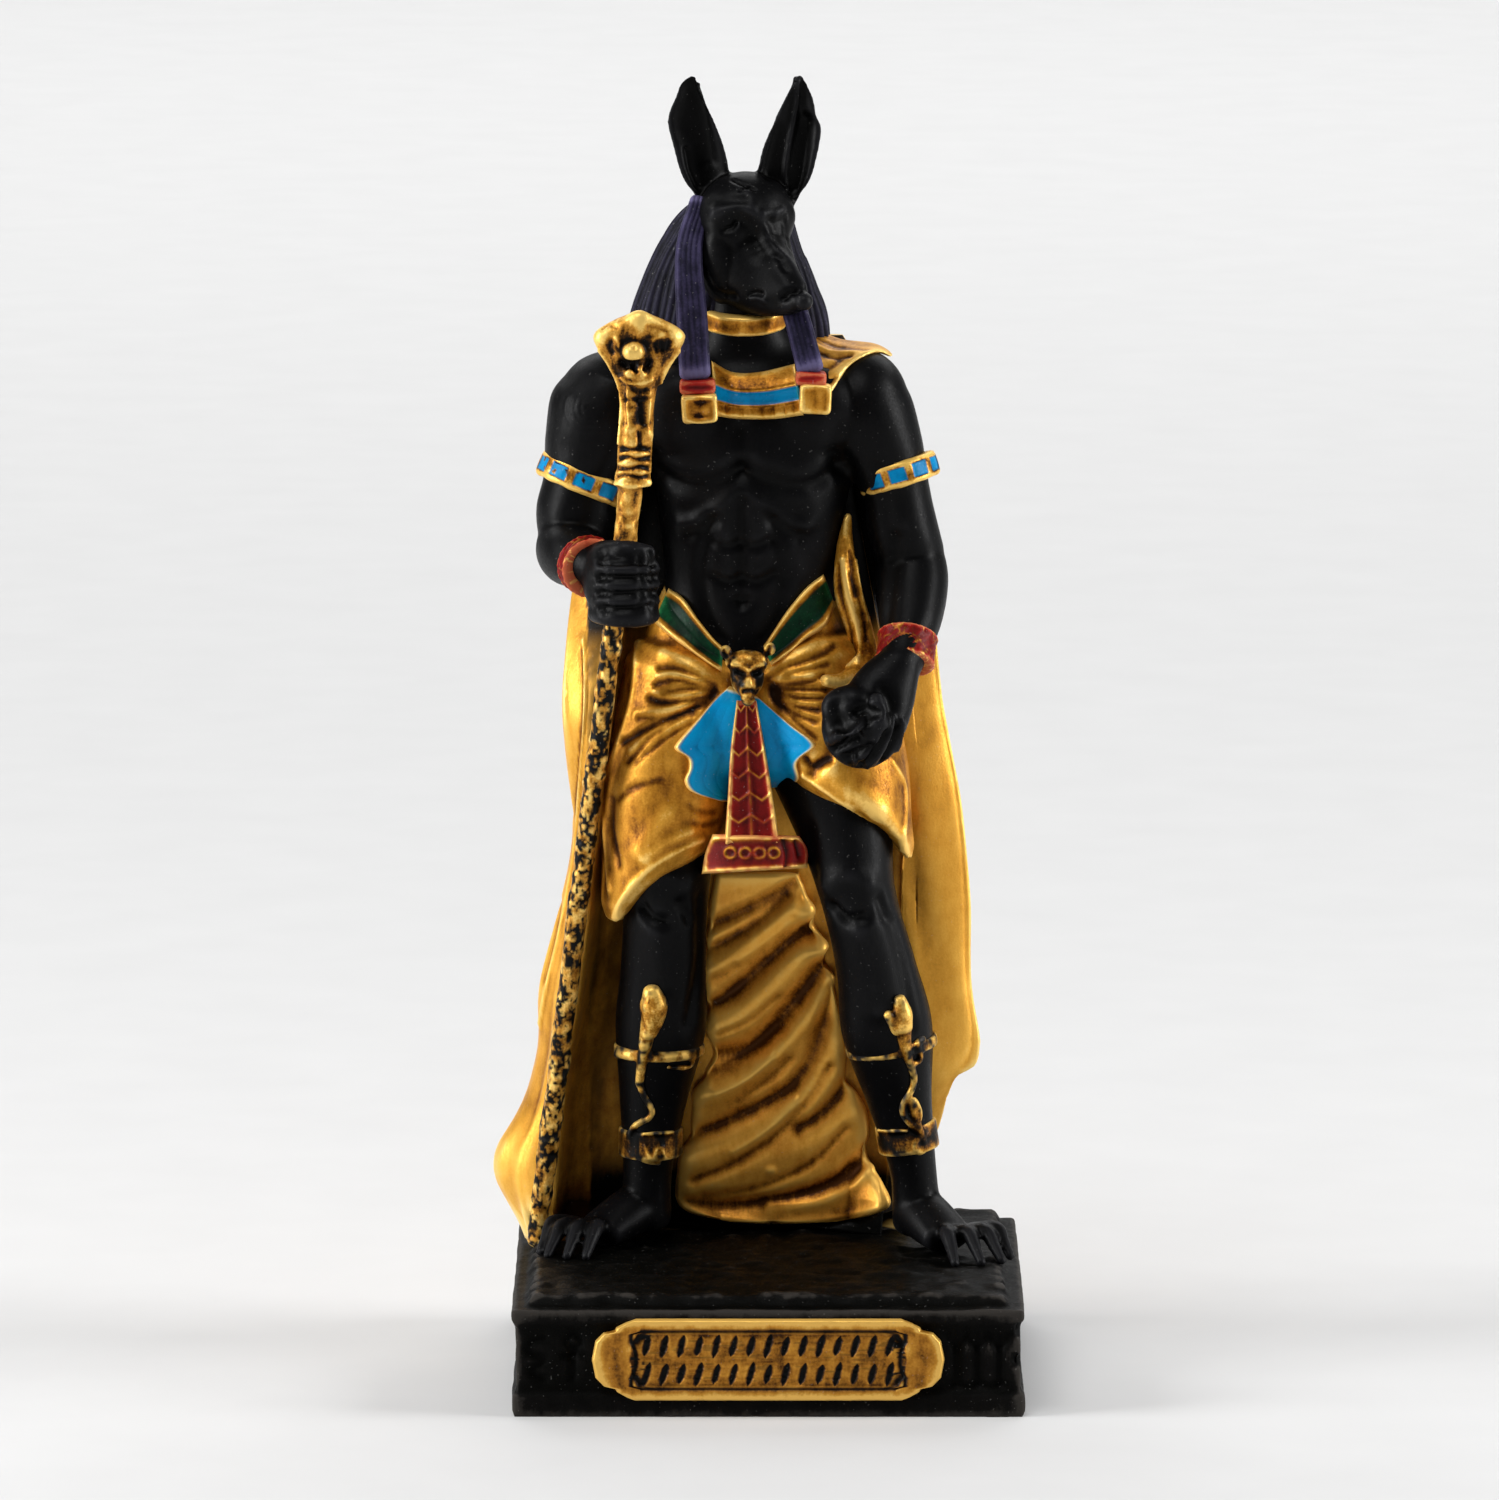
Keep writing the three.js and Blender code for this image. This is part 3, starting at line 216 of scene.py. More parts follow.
def paint(name, coat, trim=None):
    # Hand paint: a coat that is lighter on what stands out and darker in hollows, partly as dry-brushing and
    # a wash and partly as painted highlight and painted shade, with brush streaks, grain, and specks of dust.
    # A second coat lies where the piece's "trim" is 1.
    material = bpy.data.materials.new(name)
    material.use_nodes = True
    nodes, links = material.node_tree.nodes, material.node_tree.links
    shader = nodes["Principled BSDF"]
    place = nodes.new("ShaderNodeTexCoord").outputs["Object"]

    def noise(size, detail, stretch=(1, 1, 1)):
        mapping = nodes.new("ShaderNodeMapping")
        mapping.inputs["Scale"].default_value = stretch
        texture = nodes.new("ShaderNodeTexNoise")
        texture.inputs["Scale"].default_value = 1000 / size
        texture.inputs["Detail"].default_value = detail
        links.new(place, mapping.inputs["Vector"])
        links.new(mapping.outputs["Vector"], texture.inputs["Vector"])
        return texture.outputs["Fac"]

    def measured(value, low, high, to_low, to_high):
        node = nodes.new("ShaderNodeMapRange")
        links.new(value, node.inputs["Value"])
        for key, number in (("From Min", low), ("From Max", high), ("To Min", to_low), ("To Max", to_high)):
            node.inputs[key].default_value = number
        return node.outputs["Result"]

    def added(*values):
        total = values[0]
        for value in values[1:]:
            node = nodes.new("ShaderNodeMath")
            node.operation = "ADD"
            links.new(total, node.inputs[0])
            links.new(value, node.inputs[1])
            total = node.outputs[0]
        return total

    def noted(attribute):
        node = nodes.new("ShaderNodeAttribute")
        node.attribute_name = attribute
        return node.outputs["Fac"]

    def mixed(kind, share, first, second):
        node = nodes.new("ShaderNodeMix")
        node.data_type = kind
        links.new(share, node.inputs["Factor"])
        socket_type = "RGBA" if kind == "RGBA" else "VALUE"
        ends = [socket for socket in node.inputs if socket.type == socket_type and socket.name in "AB"]
        for socket, value in zip(ends, (first, second)):
            if hasattr(value, "default_value"):
                links.new(value, socket)
            else:
                socket.default_value = value
        return next(out for out in node.outputs if out.type == socket_type)

    hollow, mottle = noted("hollow"), noise(MOTTLE_SIZE, 4)
    streaks, fine = noise(STREAK_SIZE, 3, (1, 1, 0.25)), noise(GRAIN_SIZE, 3)

    # Lighter on raised parts and darker in hollows: a wash and dry-brushing, together with painted highlight
    # and painted shade
    def coat_colour(coat):
        patchy = coat.get("patchy", 0.12)
        value = added(
            measured(hollow, -1, 1, 0, 1),
            measured(mottle, 0.3, 0.7, -patchy, patchy),
            measured(streaks, 0.3, 0.7, -patchy * 0.7, patchy * 0.7),
            measured(fine, 0.25, 0.75, -patchy * 0.6, patchy * 0.6),
        )
        ramp = nodes.new("ShaderNodeValToRGB")
        links.new(value, ramp.inputs["Fac"])
        stops, elements = coat["stops"], ramp.color_ramp.elements
        for element, (position, colour) in zip(elements, (stops[0], stops[-1])):
            element.position, element.color = position, linear(*colour)
        for position, colour in stops[1:-1]:
            elements.new(position).color = linear(*colour)
        return ramp.outputs["Color"]

    colour = coat_colour(coat)
    roughness = measured(fine, 0.3, 0.7, coat["roughness"] - 0.07, coat["roughness"] + 0.07)
    shader.inputs["Metallic"].default_value = coat["metallic"]
    shader.inputs["Specular IOR Level"].default_value = coat.get("gloss", 0.1)
    if trim:
        share = noted("trim")
        colour = mixed("RGBA", share, colour, coat_colour(trim))
        links.new(mixed("FLOAT", share, coat["metallic"], trim["metallic"]), shader.inputs["Metallic"])
    specks = measured(noise(SPECK_SIZE, 0), 0.8, 0.82, 0, coat.get("dust", 0.15))
    colour = mixed("RGBA", specks, colour, linear(*DUST_COLOUR))
    links.new(colour, shader.inputs["Base Color"])
    links.new(roughness, shader.inputs["Roughness"])
    bump = nodes.new("ShaderNodeBump")
    bump.inputs["Strength"].default_value = coat.get("grain", 0.35)
    bump.inputs["Distance"].default_value = GRAIN_DEPTH * MM
    links.new(added(fine, measured(streaks, 0, 1, 0, 0.6)), bump.inputs["Height"])
    links.new(bump.outputs["Normal"], shader.inputs["Normal"])
    return material


def finished(name, points, faces, material, trim=None, spacing=0.2, keep=1.0):
    # Puts a piece into the scene in metres, with its hollows noted for the paint's wash, painted shade and
    # painted highlight, and thins its flatter parts
    normals = normals_of(points, faces)
    narrow, broad = (
        ((eased(points, faces, round(reach / spacing**2)) - points) * normals).sum(1) / depth
        for reach, depth in (NARROW_HOLLOW, BROAD_HOLLOW)
    )
    hollow = 0.7 * narrow + 0.5 * broad
    hollow = np.clip(hollow - 0.8 * np.clip(hollow, -1, 1).mean(), -1, 1)
    piece = placed_object(name, points * MM, faces)
    for label, values in (("hollow", hollow), ("trim", trim)):
        if values is not None:
            attribute = piece.data.attributes.new(label, "FLOAT", "POINT")
            attribute.data.foreach_set("value", values.astype(np.float32))
    piece.data.shade_smooth()
    piece.data.materials.append(material)
    if keep < 1:
        piece.modifiers.new("Decimate", "DECIMATE").ratio = keep
        bpy.ops.object.modifier_apply(modifier="Decimate")
    piece.select_set(False)
    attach(piece, "root")
    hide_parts("anubis_statuette")


def spline(a, b, c, d, w):
    # A share w of the way from b to c, on a smooth line that comes from a and goes on to d
    return 0.5 * ((2 * b) + (c - a) * w + (2 * a - 5 * b + 4 * c - d) * w**2 + (3 * b - a - 3 * c + d) * w**3)


def line_at(stations, places):
    # Points of a smooth line through stations, at places counted in stations
    s = np.asarray(stations, float)
    s = np.vstack([2 * s[0] - s[1], s, 2 * s[-1] - s[-2]])
    p = np.clip(places, 0, len(stations) - 1 - 1e-9)
    i = p.astype(int)
    return spline(s[i], s[i + 1], s[i + 2], s[i + 3], (p - i)[:, None])


def drawn(marks, count):
    # A smooth line through marks, with even steps
    n = len(marks) - 1
    line = line_at(marks, np.linspace(0, n, 40 * n + 1))
    length = np.concatenate([[0], np.cumsum(np.linalg.norm(np.diff(line, axis=0), axis=1))])
    even = np.linspace(0, length[-1], count)
    return np.column_stack([np.interp(even, length, line[:, axis]) for axis in range(line.shape[1])])


def length_of(marks):
    return np.linalg.norm(np.diff(np.asarray(marks, float), axis=0), axis=1).sum() / PIXELS_A_MM


def carved(form, strokes):
    # Each stroke is a line of marks, its width and its height in millimetres: cut where it is negative
    points, faces = form[:2]
    tree_form = form if len(form) > 2 else with_tree(form)
    normals = normals_of(points, faces)
    lift = np.zeros(len(points))
    for marks, width, height in strokes:
        line = seen_on(tree_form, drawn(marks, max(3, int(length_of(marks) / (0.4 * width)) + 2)))
        best = np.full(len(points), np.inf)
        for start in range(0, len(line), STROKE_RUN):
            run = line[start:start + STROKE_RUN]
            low, high = run.min(0) - STROKE_REACH * width, run.max(0) + STROKE_REACH * width
            near = np.flatnonzero(((points > low) & (points < high)).all(1))
            if len(near):
                away = ((points[near, None] - run[None]) ** 2).sum(2).min(1)
                best[near] = np.minimum(best[near], away)
        lift += height * np.exp(-best / width**2)
    return points + normals * lift[:, None], faces


half = np.array([BASE_WIDTH / 2, BASE_DEPTH / 2])
inner = half - PANEL_INSET
mound_low, mound_high = half - LIP_ROUND, half - LIP_ROUND - GROUND_SLOPE_WIDTH
mound = box_shell((*-mound_low, BASE_HEIGHT - LIP_HEIGHT), (*mound_low, GROUND + 0.05))
mound[0][mound[0][:, 2] > GROUND, :2] *= mound_high / mound_low
base_points, base_faces = as_one(
    [
        box_shell((*-inner, 0), (*inner, BASE_HEIGHT - LIP_ROUND)),
        box_shell((*-half, 0), (*half, FOOT_BAND_HEIGHT)),
        box_shell((*-half, BASE_HEIGHT - LIP_HEIGHT), (*half, BASE_HEIGHT)),
        mound,
    ],
    0.24,
    2,
)
COLUMN_MARKS = [(957, 1336), (978, 1336), (1000, 1336)]
base_strokes = []
for u, v in COLUMN_MARKS:
    # a little column with a bowl-shaped head and a foot, at the viewer's right
    base_strokes += [
        ([(u, v), (u, v + 48)], 0.22, -0.3),
        ([(u - 9, v - 1), (u - 5, v + 8), (u, v + 11), (u + 5, v + 8), (u + 9, v - 1)], 0.2, -0.28),
        ([(u - 7, v + 49), (u + 7, v + 49)], 0.2, -0.25),
    ]
base_strokes += [
    # a looped cross and a bent line at the other end, and two chips beside the columns
    ([(573, 1350), (567, 1343), (569, 1336), (574, 1334), (579, 1337), (580, 1344), (573, 1351)], 0.2, -0.3),
    ([(573, 1350), (573, 1378)], 0.22, -0.3),
    ([(564, 1355), (583, 1355)], 0.22, -0.28),
    ([(545, 1338), (532, 1341), (529, 1352), (545, 1360), (531, 1371), (545, 1380)], 0.22, -0.28),
    ([(1021, 1330), (1027, 1331)], 0.4, -0.5),
    ([(1018, 1360), (1023, 1361)], 0.35, -0.45),
]
base_points, base_faces = carved((base_points, base_faces), base_strokes)
normals = normals_of(base_points, base_faces)
top = np.clip((base_points[:, 2] - BASE_HEIGHT + 0.1) / 0.5, 0, 1) * np.clip(normals[:, 2] * 2, 0, 1)
rock = (
    0.2 * np.abs(rough(base_points, 2.6, 3))
    + 0.16 * rough(base_points, 1.2, 4)
    + 0.1 * np.abs(rough(base_points, 0.6, 5))
)
worn = 0.05 * rough(base_points, 3.0, 6) + 0.025 * rough(base_points, 0.8, 7)
foot_edge = np.clip(1 - np.abs(base_points[:, 2] - FOOT_BAND_HEIGHT) / 0.5, 0, 1)
chips = -0.25 * foot_edge * np.clip(rough(base_points, 1.6, 8) - 0.25, 0, 1)
base_points += normals * (top * (rock - 0.1) + (1 - top) * (worn - 0.06) + chips)[:, None]
base_points[:, 2] = np.maximum(base_points[:, 2], 0)
base_points[base_points[:, 2] < 0.14, 2] = 0
base_points[:, :2] = np.clip(base_points[:, :2], -half, half)
BLACK_GROUND = {
    "stops": [(0.06, (50, 47, 44)), (0.26, (13, 12, 11)), (0.5, (5, 5, 4)), (0.85, (3, 3, 2))],
    "metallic": 0.0, "roughness": 0.5, "gloss": 0.04, "patchy": 0.06, "dust": 0.07, "grain": 0.6,
}
finished("base", base_points, base_faces, paint("black_ground_paint", BLACK_GROUND), spacing=0.24, keep=0.55)

# Nameplate: a shallow plate cast on the front of the base, with drawn-in ends, a raised double border and
# a sunk field. It is gold with a brown wash, and carries plain short strokes.
PLATE_WIDTH, PLATE_HEIGHT, PLATE_RELIEF, PLATE_FIELD_DEPTH = 23.6, 5.6, 0.68, 0.3
PLATE_MIDDLE = (BASE_HEIGHT - LIP_HEIGHT + FOOT_BAND_HEIGHT) / 2
PLATE_BACK, PLATE_FOREMOST = -BASE_DEPTH / 2 + PANEL_INSET, -15.59
DASH_ROWS, DASH_STEP, DASH_SLANT, DASH_WIDTH, DASH_CUT = (0.34, -0.34), 1.16, 0.25, 0.19, 0.14


def closed_sheet(front, back):
    # A closed sheet from its front and back points, in rows and columns
    rows, columns = front.shape[:2]
    index = np.arange(rows * columns).reshape(rows, columns)
    quads = np.stack([index[:-1, :-1], index[:-1, 1:], index[1:, 1:], index[1:, :-1]], -1).reshape(-1, 4)
    rim = np.concatenate([index[0], index[1:, -1], index[-1, -2::-1], index[-2:0:-1, 0]])
    following = np.roll(rim, -1)
    skirt = np.stack([following, rim, rim + rows * columns, following + rows * columns], -1)
    faces = np.vstack([quads, quads[:, ::-1] + rows * columns, skirt])
    return outwards(np.vstack([front.reshape(-1, 3), back.reshape(-1, 3)]), faces)


def plate_half_width(share):
    # How wide it is, as a part of its full width; share runs from -1 at the lower edge to 1 at the upper edge
    edge = [(0, 1.0), (0.44, 0.98), (0.64, 0.935), (0.7, 0.87), (0.78, 0.86), (0.9, 0.81), (1.0, 0.75)]
    return np.interp(np.abs(share), *np.array(edge).T)


up, across = np.meshgrid(np.linspace(1, -1, 90), np.linspace(-1, 1, 330), indexing="ij")
plate_x = across * plate_half_width(up) * PLATE_WIDTH / 2
plate_z = PLATE_MIDDLE + up * PLATE_HEIGHT / 2
from_end = (1 - np.abs(across)) * plate_half_width(up) * PLATE_WIDTH / 2
inward = np.minimum((1 - np.abs(up)) * PLATE_HEIGHT / 2, from_end)
edge_round = np.clip(inward / 0.14, 0, 1) ** 0.5
frame_line = np.exp(-(((np.abs(up) - 0.7) / 0.05) ** 2)) * (np.abs(across) < 0.84)
end_line = np.exp(-(((np.abs(across) - 0.8 + 0.05 * np.cos(3.3 * up)) / 0.012) ** 2)) * (np.abs(up) < 0.72)
scroll = np.exp(-(((np.abs(across) - 0.76) / 0.03) ** 2) - ((np.abs(up) - 0.5) / 0.16) ** 2)
field = np.clip((0.66 - np.abs(up)) / 0.05, 0, 1) * np.clip((0.79 - np.abs(across)) / 0.01, 0, 1)
flat = np.stack([plate_x, np.zeros_like(plate_x), plate_z], -1).reshape(-1, 3)
blobs = rough(flat, 0.9, 11).reshape(plate_x.shape)
scratches = rough(flat * (0.16, 1, 1), 0.16, 12).reshape(plate_x.shape)
height = PLATE_RELIEF * (0.4 + 0.5 * edge_round) - PLATE_FIELD_DEPTH * field * 0.5
height += 0.04 * blobs + 0.035 * scratches * field
dashes = np.zeros_like(height)
for row in DASH_ROWS:
    for number in range(-7, 8):
        above = plate_z - PLATE_MIDDLE - row * PLATE_HEIGHT / 2
        away = np.abs(plate_x - DASH_STEP * number - DASH_SLANT * above)
        reach = 0.74 + 0.08 * math.sin(2.3 * number + 5 * row)
        taper = DASH_WIDTH * np.clip(1.05 - (np.abs(above) / reach) ** 3, 0, 1)
        dashes = np.maximum(dashes, np.clip(1.7 - away / np.maximum(taper, 0.01), 0, 1) * (taper > 0.01))
height -= DASH_CUT * np.clip(dashes + frame_line + end_line + scroll, 0, 1)
plate_black = np.clip(dashes + 0.9 * frame_line + end_line + scroll, 0, 1)
end_scratches = field * np.clip((np.abs(across) - 0.68) / 0.03, 0, 1)
plate_black = np.maximum(plate_black, end_scratches * np.clip((scratches - 0.2) * 4, 0, 1))
plate_black = np.maximum(plate_black, 0.5 * field * np.clip((scratches - 0.35) * 4, 0, 1))
front = np.stack([plate_x, np.maximum(PLATE_BACK - height, PLATE_FOREMOST), plate_z], -1)
back = np.stack([plate_x, np.full_like(plate_x, PLATE_BACK + 0.4), plate_z], -1)
plate_trim = np.concatenate([plate_black.ravel(), np.zeros(plate_black.size)])
GOLD = {
    "stops": [(0.08, (250, 204, 110)), (0.28, (212, 152, 54)), (0.48, (174, 116, 33)), (0.66, (112, 66, 15)),
              (0.9, (34, 17, 5))],
    "metallic": 0.4, "roughness": 0.38, "patchy": 0.1, "dust": 0.08,
}
STREAKED_GOLD = GOLD | {
    "stops": [(0.12, (240, 194, 98)), (0.3, (190, 132, 46)), (0.46, (130, 84, 25)), (0.6, (58, 35, 12)),
              (0.82, (11, 9, 6))],
    "patchy": 0.2,
}
PLATE_GOLD = GOLD | {
    "stops": [(0.1, (232, 184, 92)), (0.34, (196, 138, 50)), (0.54, (158, 104, 34)), (0.72, (74, 44, 14)),
              (0.94, (16, 10, 6))],
    "patchy": 0.12,
}
finished("nameplate", *closed_sheet(front, back), paint("plate_gold", PLATE_GOLD, BLACK_GROUND),
         trim=plate_trim, spacing=0.1, keep=0.5)

# Torso and arms: bare skin with a carved belly and chest, cast in one and painted satin black.
# The right hand closes round the staff, and the left one hangs as a fist.
TO_VIEWER, UP = np.array([0.0, -1, 0]), np.array([0.0, 0, 1])


def at(x, y, z):
    # A place on the figure, whose heights are counted from the ground under its feet
    return np.array([x, y, GROUND + z])


def smooth_line(stations, shares):
    return line_at(stations, shares * (len(stations) - 1))


def lofted(rings):
    # Closed rings joined in order, with a pole in the middle of each end
    rows, columns = rings.shape[:2]
    index = np.arange(rows * columns).reshape(rows, columns)
    turned = np.roll(index, -1, axis=1)
    sides = np.stack([index[:-1], turned[:-1], turned[1:], index[1:]], -1).reshape(-1, 4)
    first, last = rows * columns, rows * columns + 1
    start = np.stack([turned[0], index[0], np.full(columns, first), np.full(columns, first)], -1)
    end = np.stack([index[-1], turned[-1], np.full(columns, last), np.full(columns, last)], -1)
    points = np.vstack([rings.reshape(-1, 3), rings[0].mean(0), rings[-1].mean(0)])
    return outwards(points, np.vstack([sides, start, end]))


def limb(stations, sides=28, steps=36, facing=TO_VIEWER, swell=None, cap=1.0):
    # A rounded form along a smooth line through stations of x, y, z, half width and half depth. Its girth is
    # multiplied by swell, worked out from the angle round it and the share of the way along it.
    stations = [list(s) + [s[3]] * (5 - len(s)) for s in stations]
    share = np.linspace(0, 1, steps + 1)
    line = smooth_line(stations, share)
    centre, wide, deep = line[:, :3] + (0, 0, GROUND), line[:, 3], line[:, 4]
    ahead = smooth_line(stations, np.clip(share + 1e-4, 0, 1))[:, :3]
    behind = smooth_line(stations, np.clip(share - 1e-4, 0, 1))[:, :3]
    along = ahead - behind
    along /= np.linalg.norm(along, axis=1, keepdims=True)
    across = np.cross(along, facing)
    across /= np.linalg.norm(across, axis=1, keepdims=True)
    depth = np.cross(across, along)
    angle = 2 * np.pi * (np.arange(sides) + 0.5) / sides
    girth = np.stack([wide, deep], 1)
    rounds = [(math.cos(a), 0.6 * math.sin(a)) for a in np.radians([72, 50, 25])]
    rows = [(0, shrink, -past) for shrink, past in rounds]
    rows += [(i, 1, 0) for i in range(steps + 1)]
    rows += [(steps, shrink, past) for shrink, past in rounds[::-1]]
    rings = []
    for i, shrink, past in rows:
        spoke = across[i] * (np.cos(angle) * wide[i])[:, None] + depth[i] * (np.sin(angle) * deep[i])[:, None]
        middle = centre[i] + along[i] * past * cap * girth[i].min()
        reach = shrink if swell is None else shrink * swell(angle, i / steps)[:, None]
        rings.append(middle + spoke * reach)
    return lofted(np.array(rings))


def egg(x, y, z, wide, deep, high, rings=18):
    # A rounded lump of the given half sizes
    up = np.radians(np.linspace(-90, 90, rings + 2)[1:-1])
    turn = np.linspace(0, 2 * np.pi, 2 * rings, endpoint=False)
    ring = np.stack([np.cos(turn), np.sin(turn), np.zeros_like(turn)], -1)
    ball = np.array([ring * math.cos(a) + (0, 0, math.sin(a)) for a in up])
    points, faces = lofted(ball)
    points[-2:] = (0, 0, -1), (0, 0, 1)
    return points * (wide, deep, high) + at(x, y, z), faces


torso = limb(
    [
        [-1.3, 2.6, 34.6, 6.0, 4.2],
        [-1.3, 2.5, 40.6, 6.4, 4.3],
        [-1.2, 2.3, 45.6, 5.8, 3.9],
        [-1.1, 2.0, 50.0, 6.2, 4.2],
        [-1.1, 1.8, 54.0, 7.0, 4.6],
        [-1.3, 1.9, 57.4, 8.3, 4.8],
        [-1.5, 2.2, 60.3, 7.2, 3.9],
        [-1.6, 2.0, 62.6, 3.4, 2.9],
        [-1.6, 1.4, 66.4, 2.3, 2.4],
    ],
    sides=60, steps=90,
)
arms = [
    egg(-10.7, 1.5, 58.0, 3.6, 3.6, 3.7),
    egg(6.4, 1.5, 57.9, 3.15, 3.6, 3.9),
    limb([
        [-10.3, 1.5, 59.2, 3.3, 3.5], [-11.0, 1.5, 57.4, 3.9, 3.9], [-11.9, 1.5, 55.0, 3.3, 3.6],
        [-12.5, 1.5, 52.8, 2.7, 3.0], [-12.9, 1.4, 50.6, 2.8, 3.0], [-13.1, 1.2, 48.2, 2.3, 2.4],
    ]),
    limb([
        [-12.9, 2.4, 49.2, 2.1, 2.1], [-13.2, 0.2, 48.4, 2.5, 2.5], [-12.9, -2.0, 48.2, 2.0, 2.0],
        [-11.5, -4.3, 47.9, 1.35, 1.5],
    ]),
    limb([
        [5.7, 1.6, 59.2, 2.8, 3.3], [6.6, 1.5, 57.4, 3.3, 3.7], [7.8, 1.5, 54.8, 2.8, 3.2],
        [8.6, 1.6, 52.4, 2.3, 2.7], [9.0, 1.8, 50.0, 2.4, 2.8], [9.6, 2.1, 47.6, 2.4, 2.4],
    ]),
    limb([
        [9.4, 2.9, 48.6, 2.1, 2.1], [9.7, 1.6, 46.4, 2.5, 2.5], [9.6, -0.8, 44.0, 2.2, 2.2],
        [9.2, -3.2, 42.0, 1.6, 1.7], [8.4, -4.6, 40.6, 1.6, 1.5],
    ]),
]
right_hand = [egg(-10.8, -4.8, 47.2, 1.7, 1.8, 2.6)]
for z in (48.1, 47.0, 45.9, 44.9):
    right_hand.append(limb([
        [-11.6, -5.2, z, 0.66], [-10.6, -6.8, z, 0.7],
        [-8.6, -6.9, z - 0.1, 0.66], [-7.7, -5.4, z - 0.1, 0.58],
    ], sides=14, steps=18, facing=UP))
right_hand.append(limb([
    [-11.2, -4.4, 48.8, 0.9], [-9.6, -6.2, 49.3, 0.75], [-7.9, -5.8, 49.0, 0.6],
], sides=14, steps=12, facing=UP))
left_hand = [
    limb([[8.9, -4.2, 41.4, 1.5, 1.4], [7.9, -5.0, 39.8, 2.2, 1.6], [7.0, -5.8, 38.0, 2.5, 1.7]]),
    egg(6.3, -5.9, 37.3, 2.75, 2.0, 2.9),
    egg(5.4, -6.2, 38.6, 1.9, 1.5, 1.6),
    limb([[4.6, -7.4, 37.0, 0.5], [5.6, -7.9, 37.2, 0.52], [6.9, -7.9, 37.8, 0.5]],
         sides=14, steps=12, facing=UP),
    limb([[7.2, -7.5, 39.6, 0.5], [7.6, -7.7, 38.2, 0.62], [7.0, -7.6, 36.6, 0.5], [5.8, -7.0, 35.4, 0.5]],
         sides=14, steps=18),
]
chest = [egg(-4.9, -0.5, 57.9, 4.3, 2.5, 3.3), egg(2.3, -0.5, 57.9, 4.3, 2.5, 3.3)]
skin = with_tree(as_one([torso, *chest, *arms, *right_hand, *left_hand], 0.2, 8))
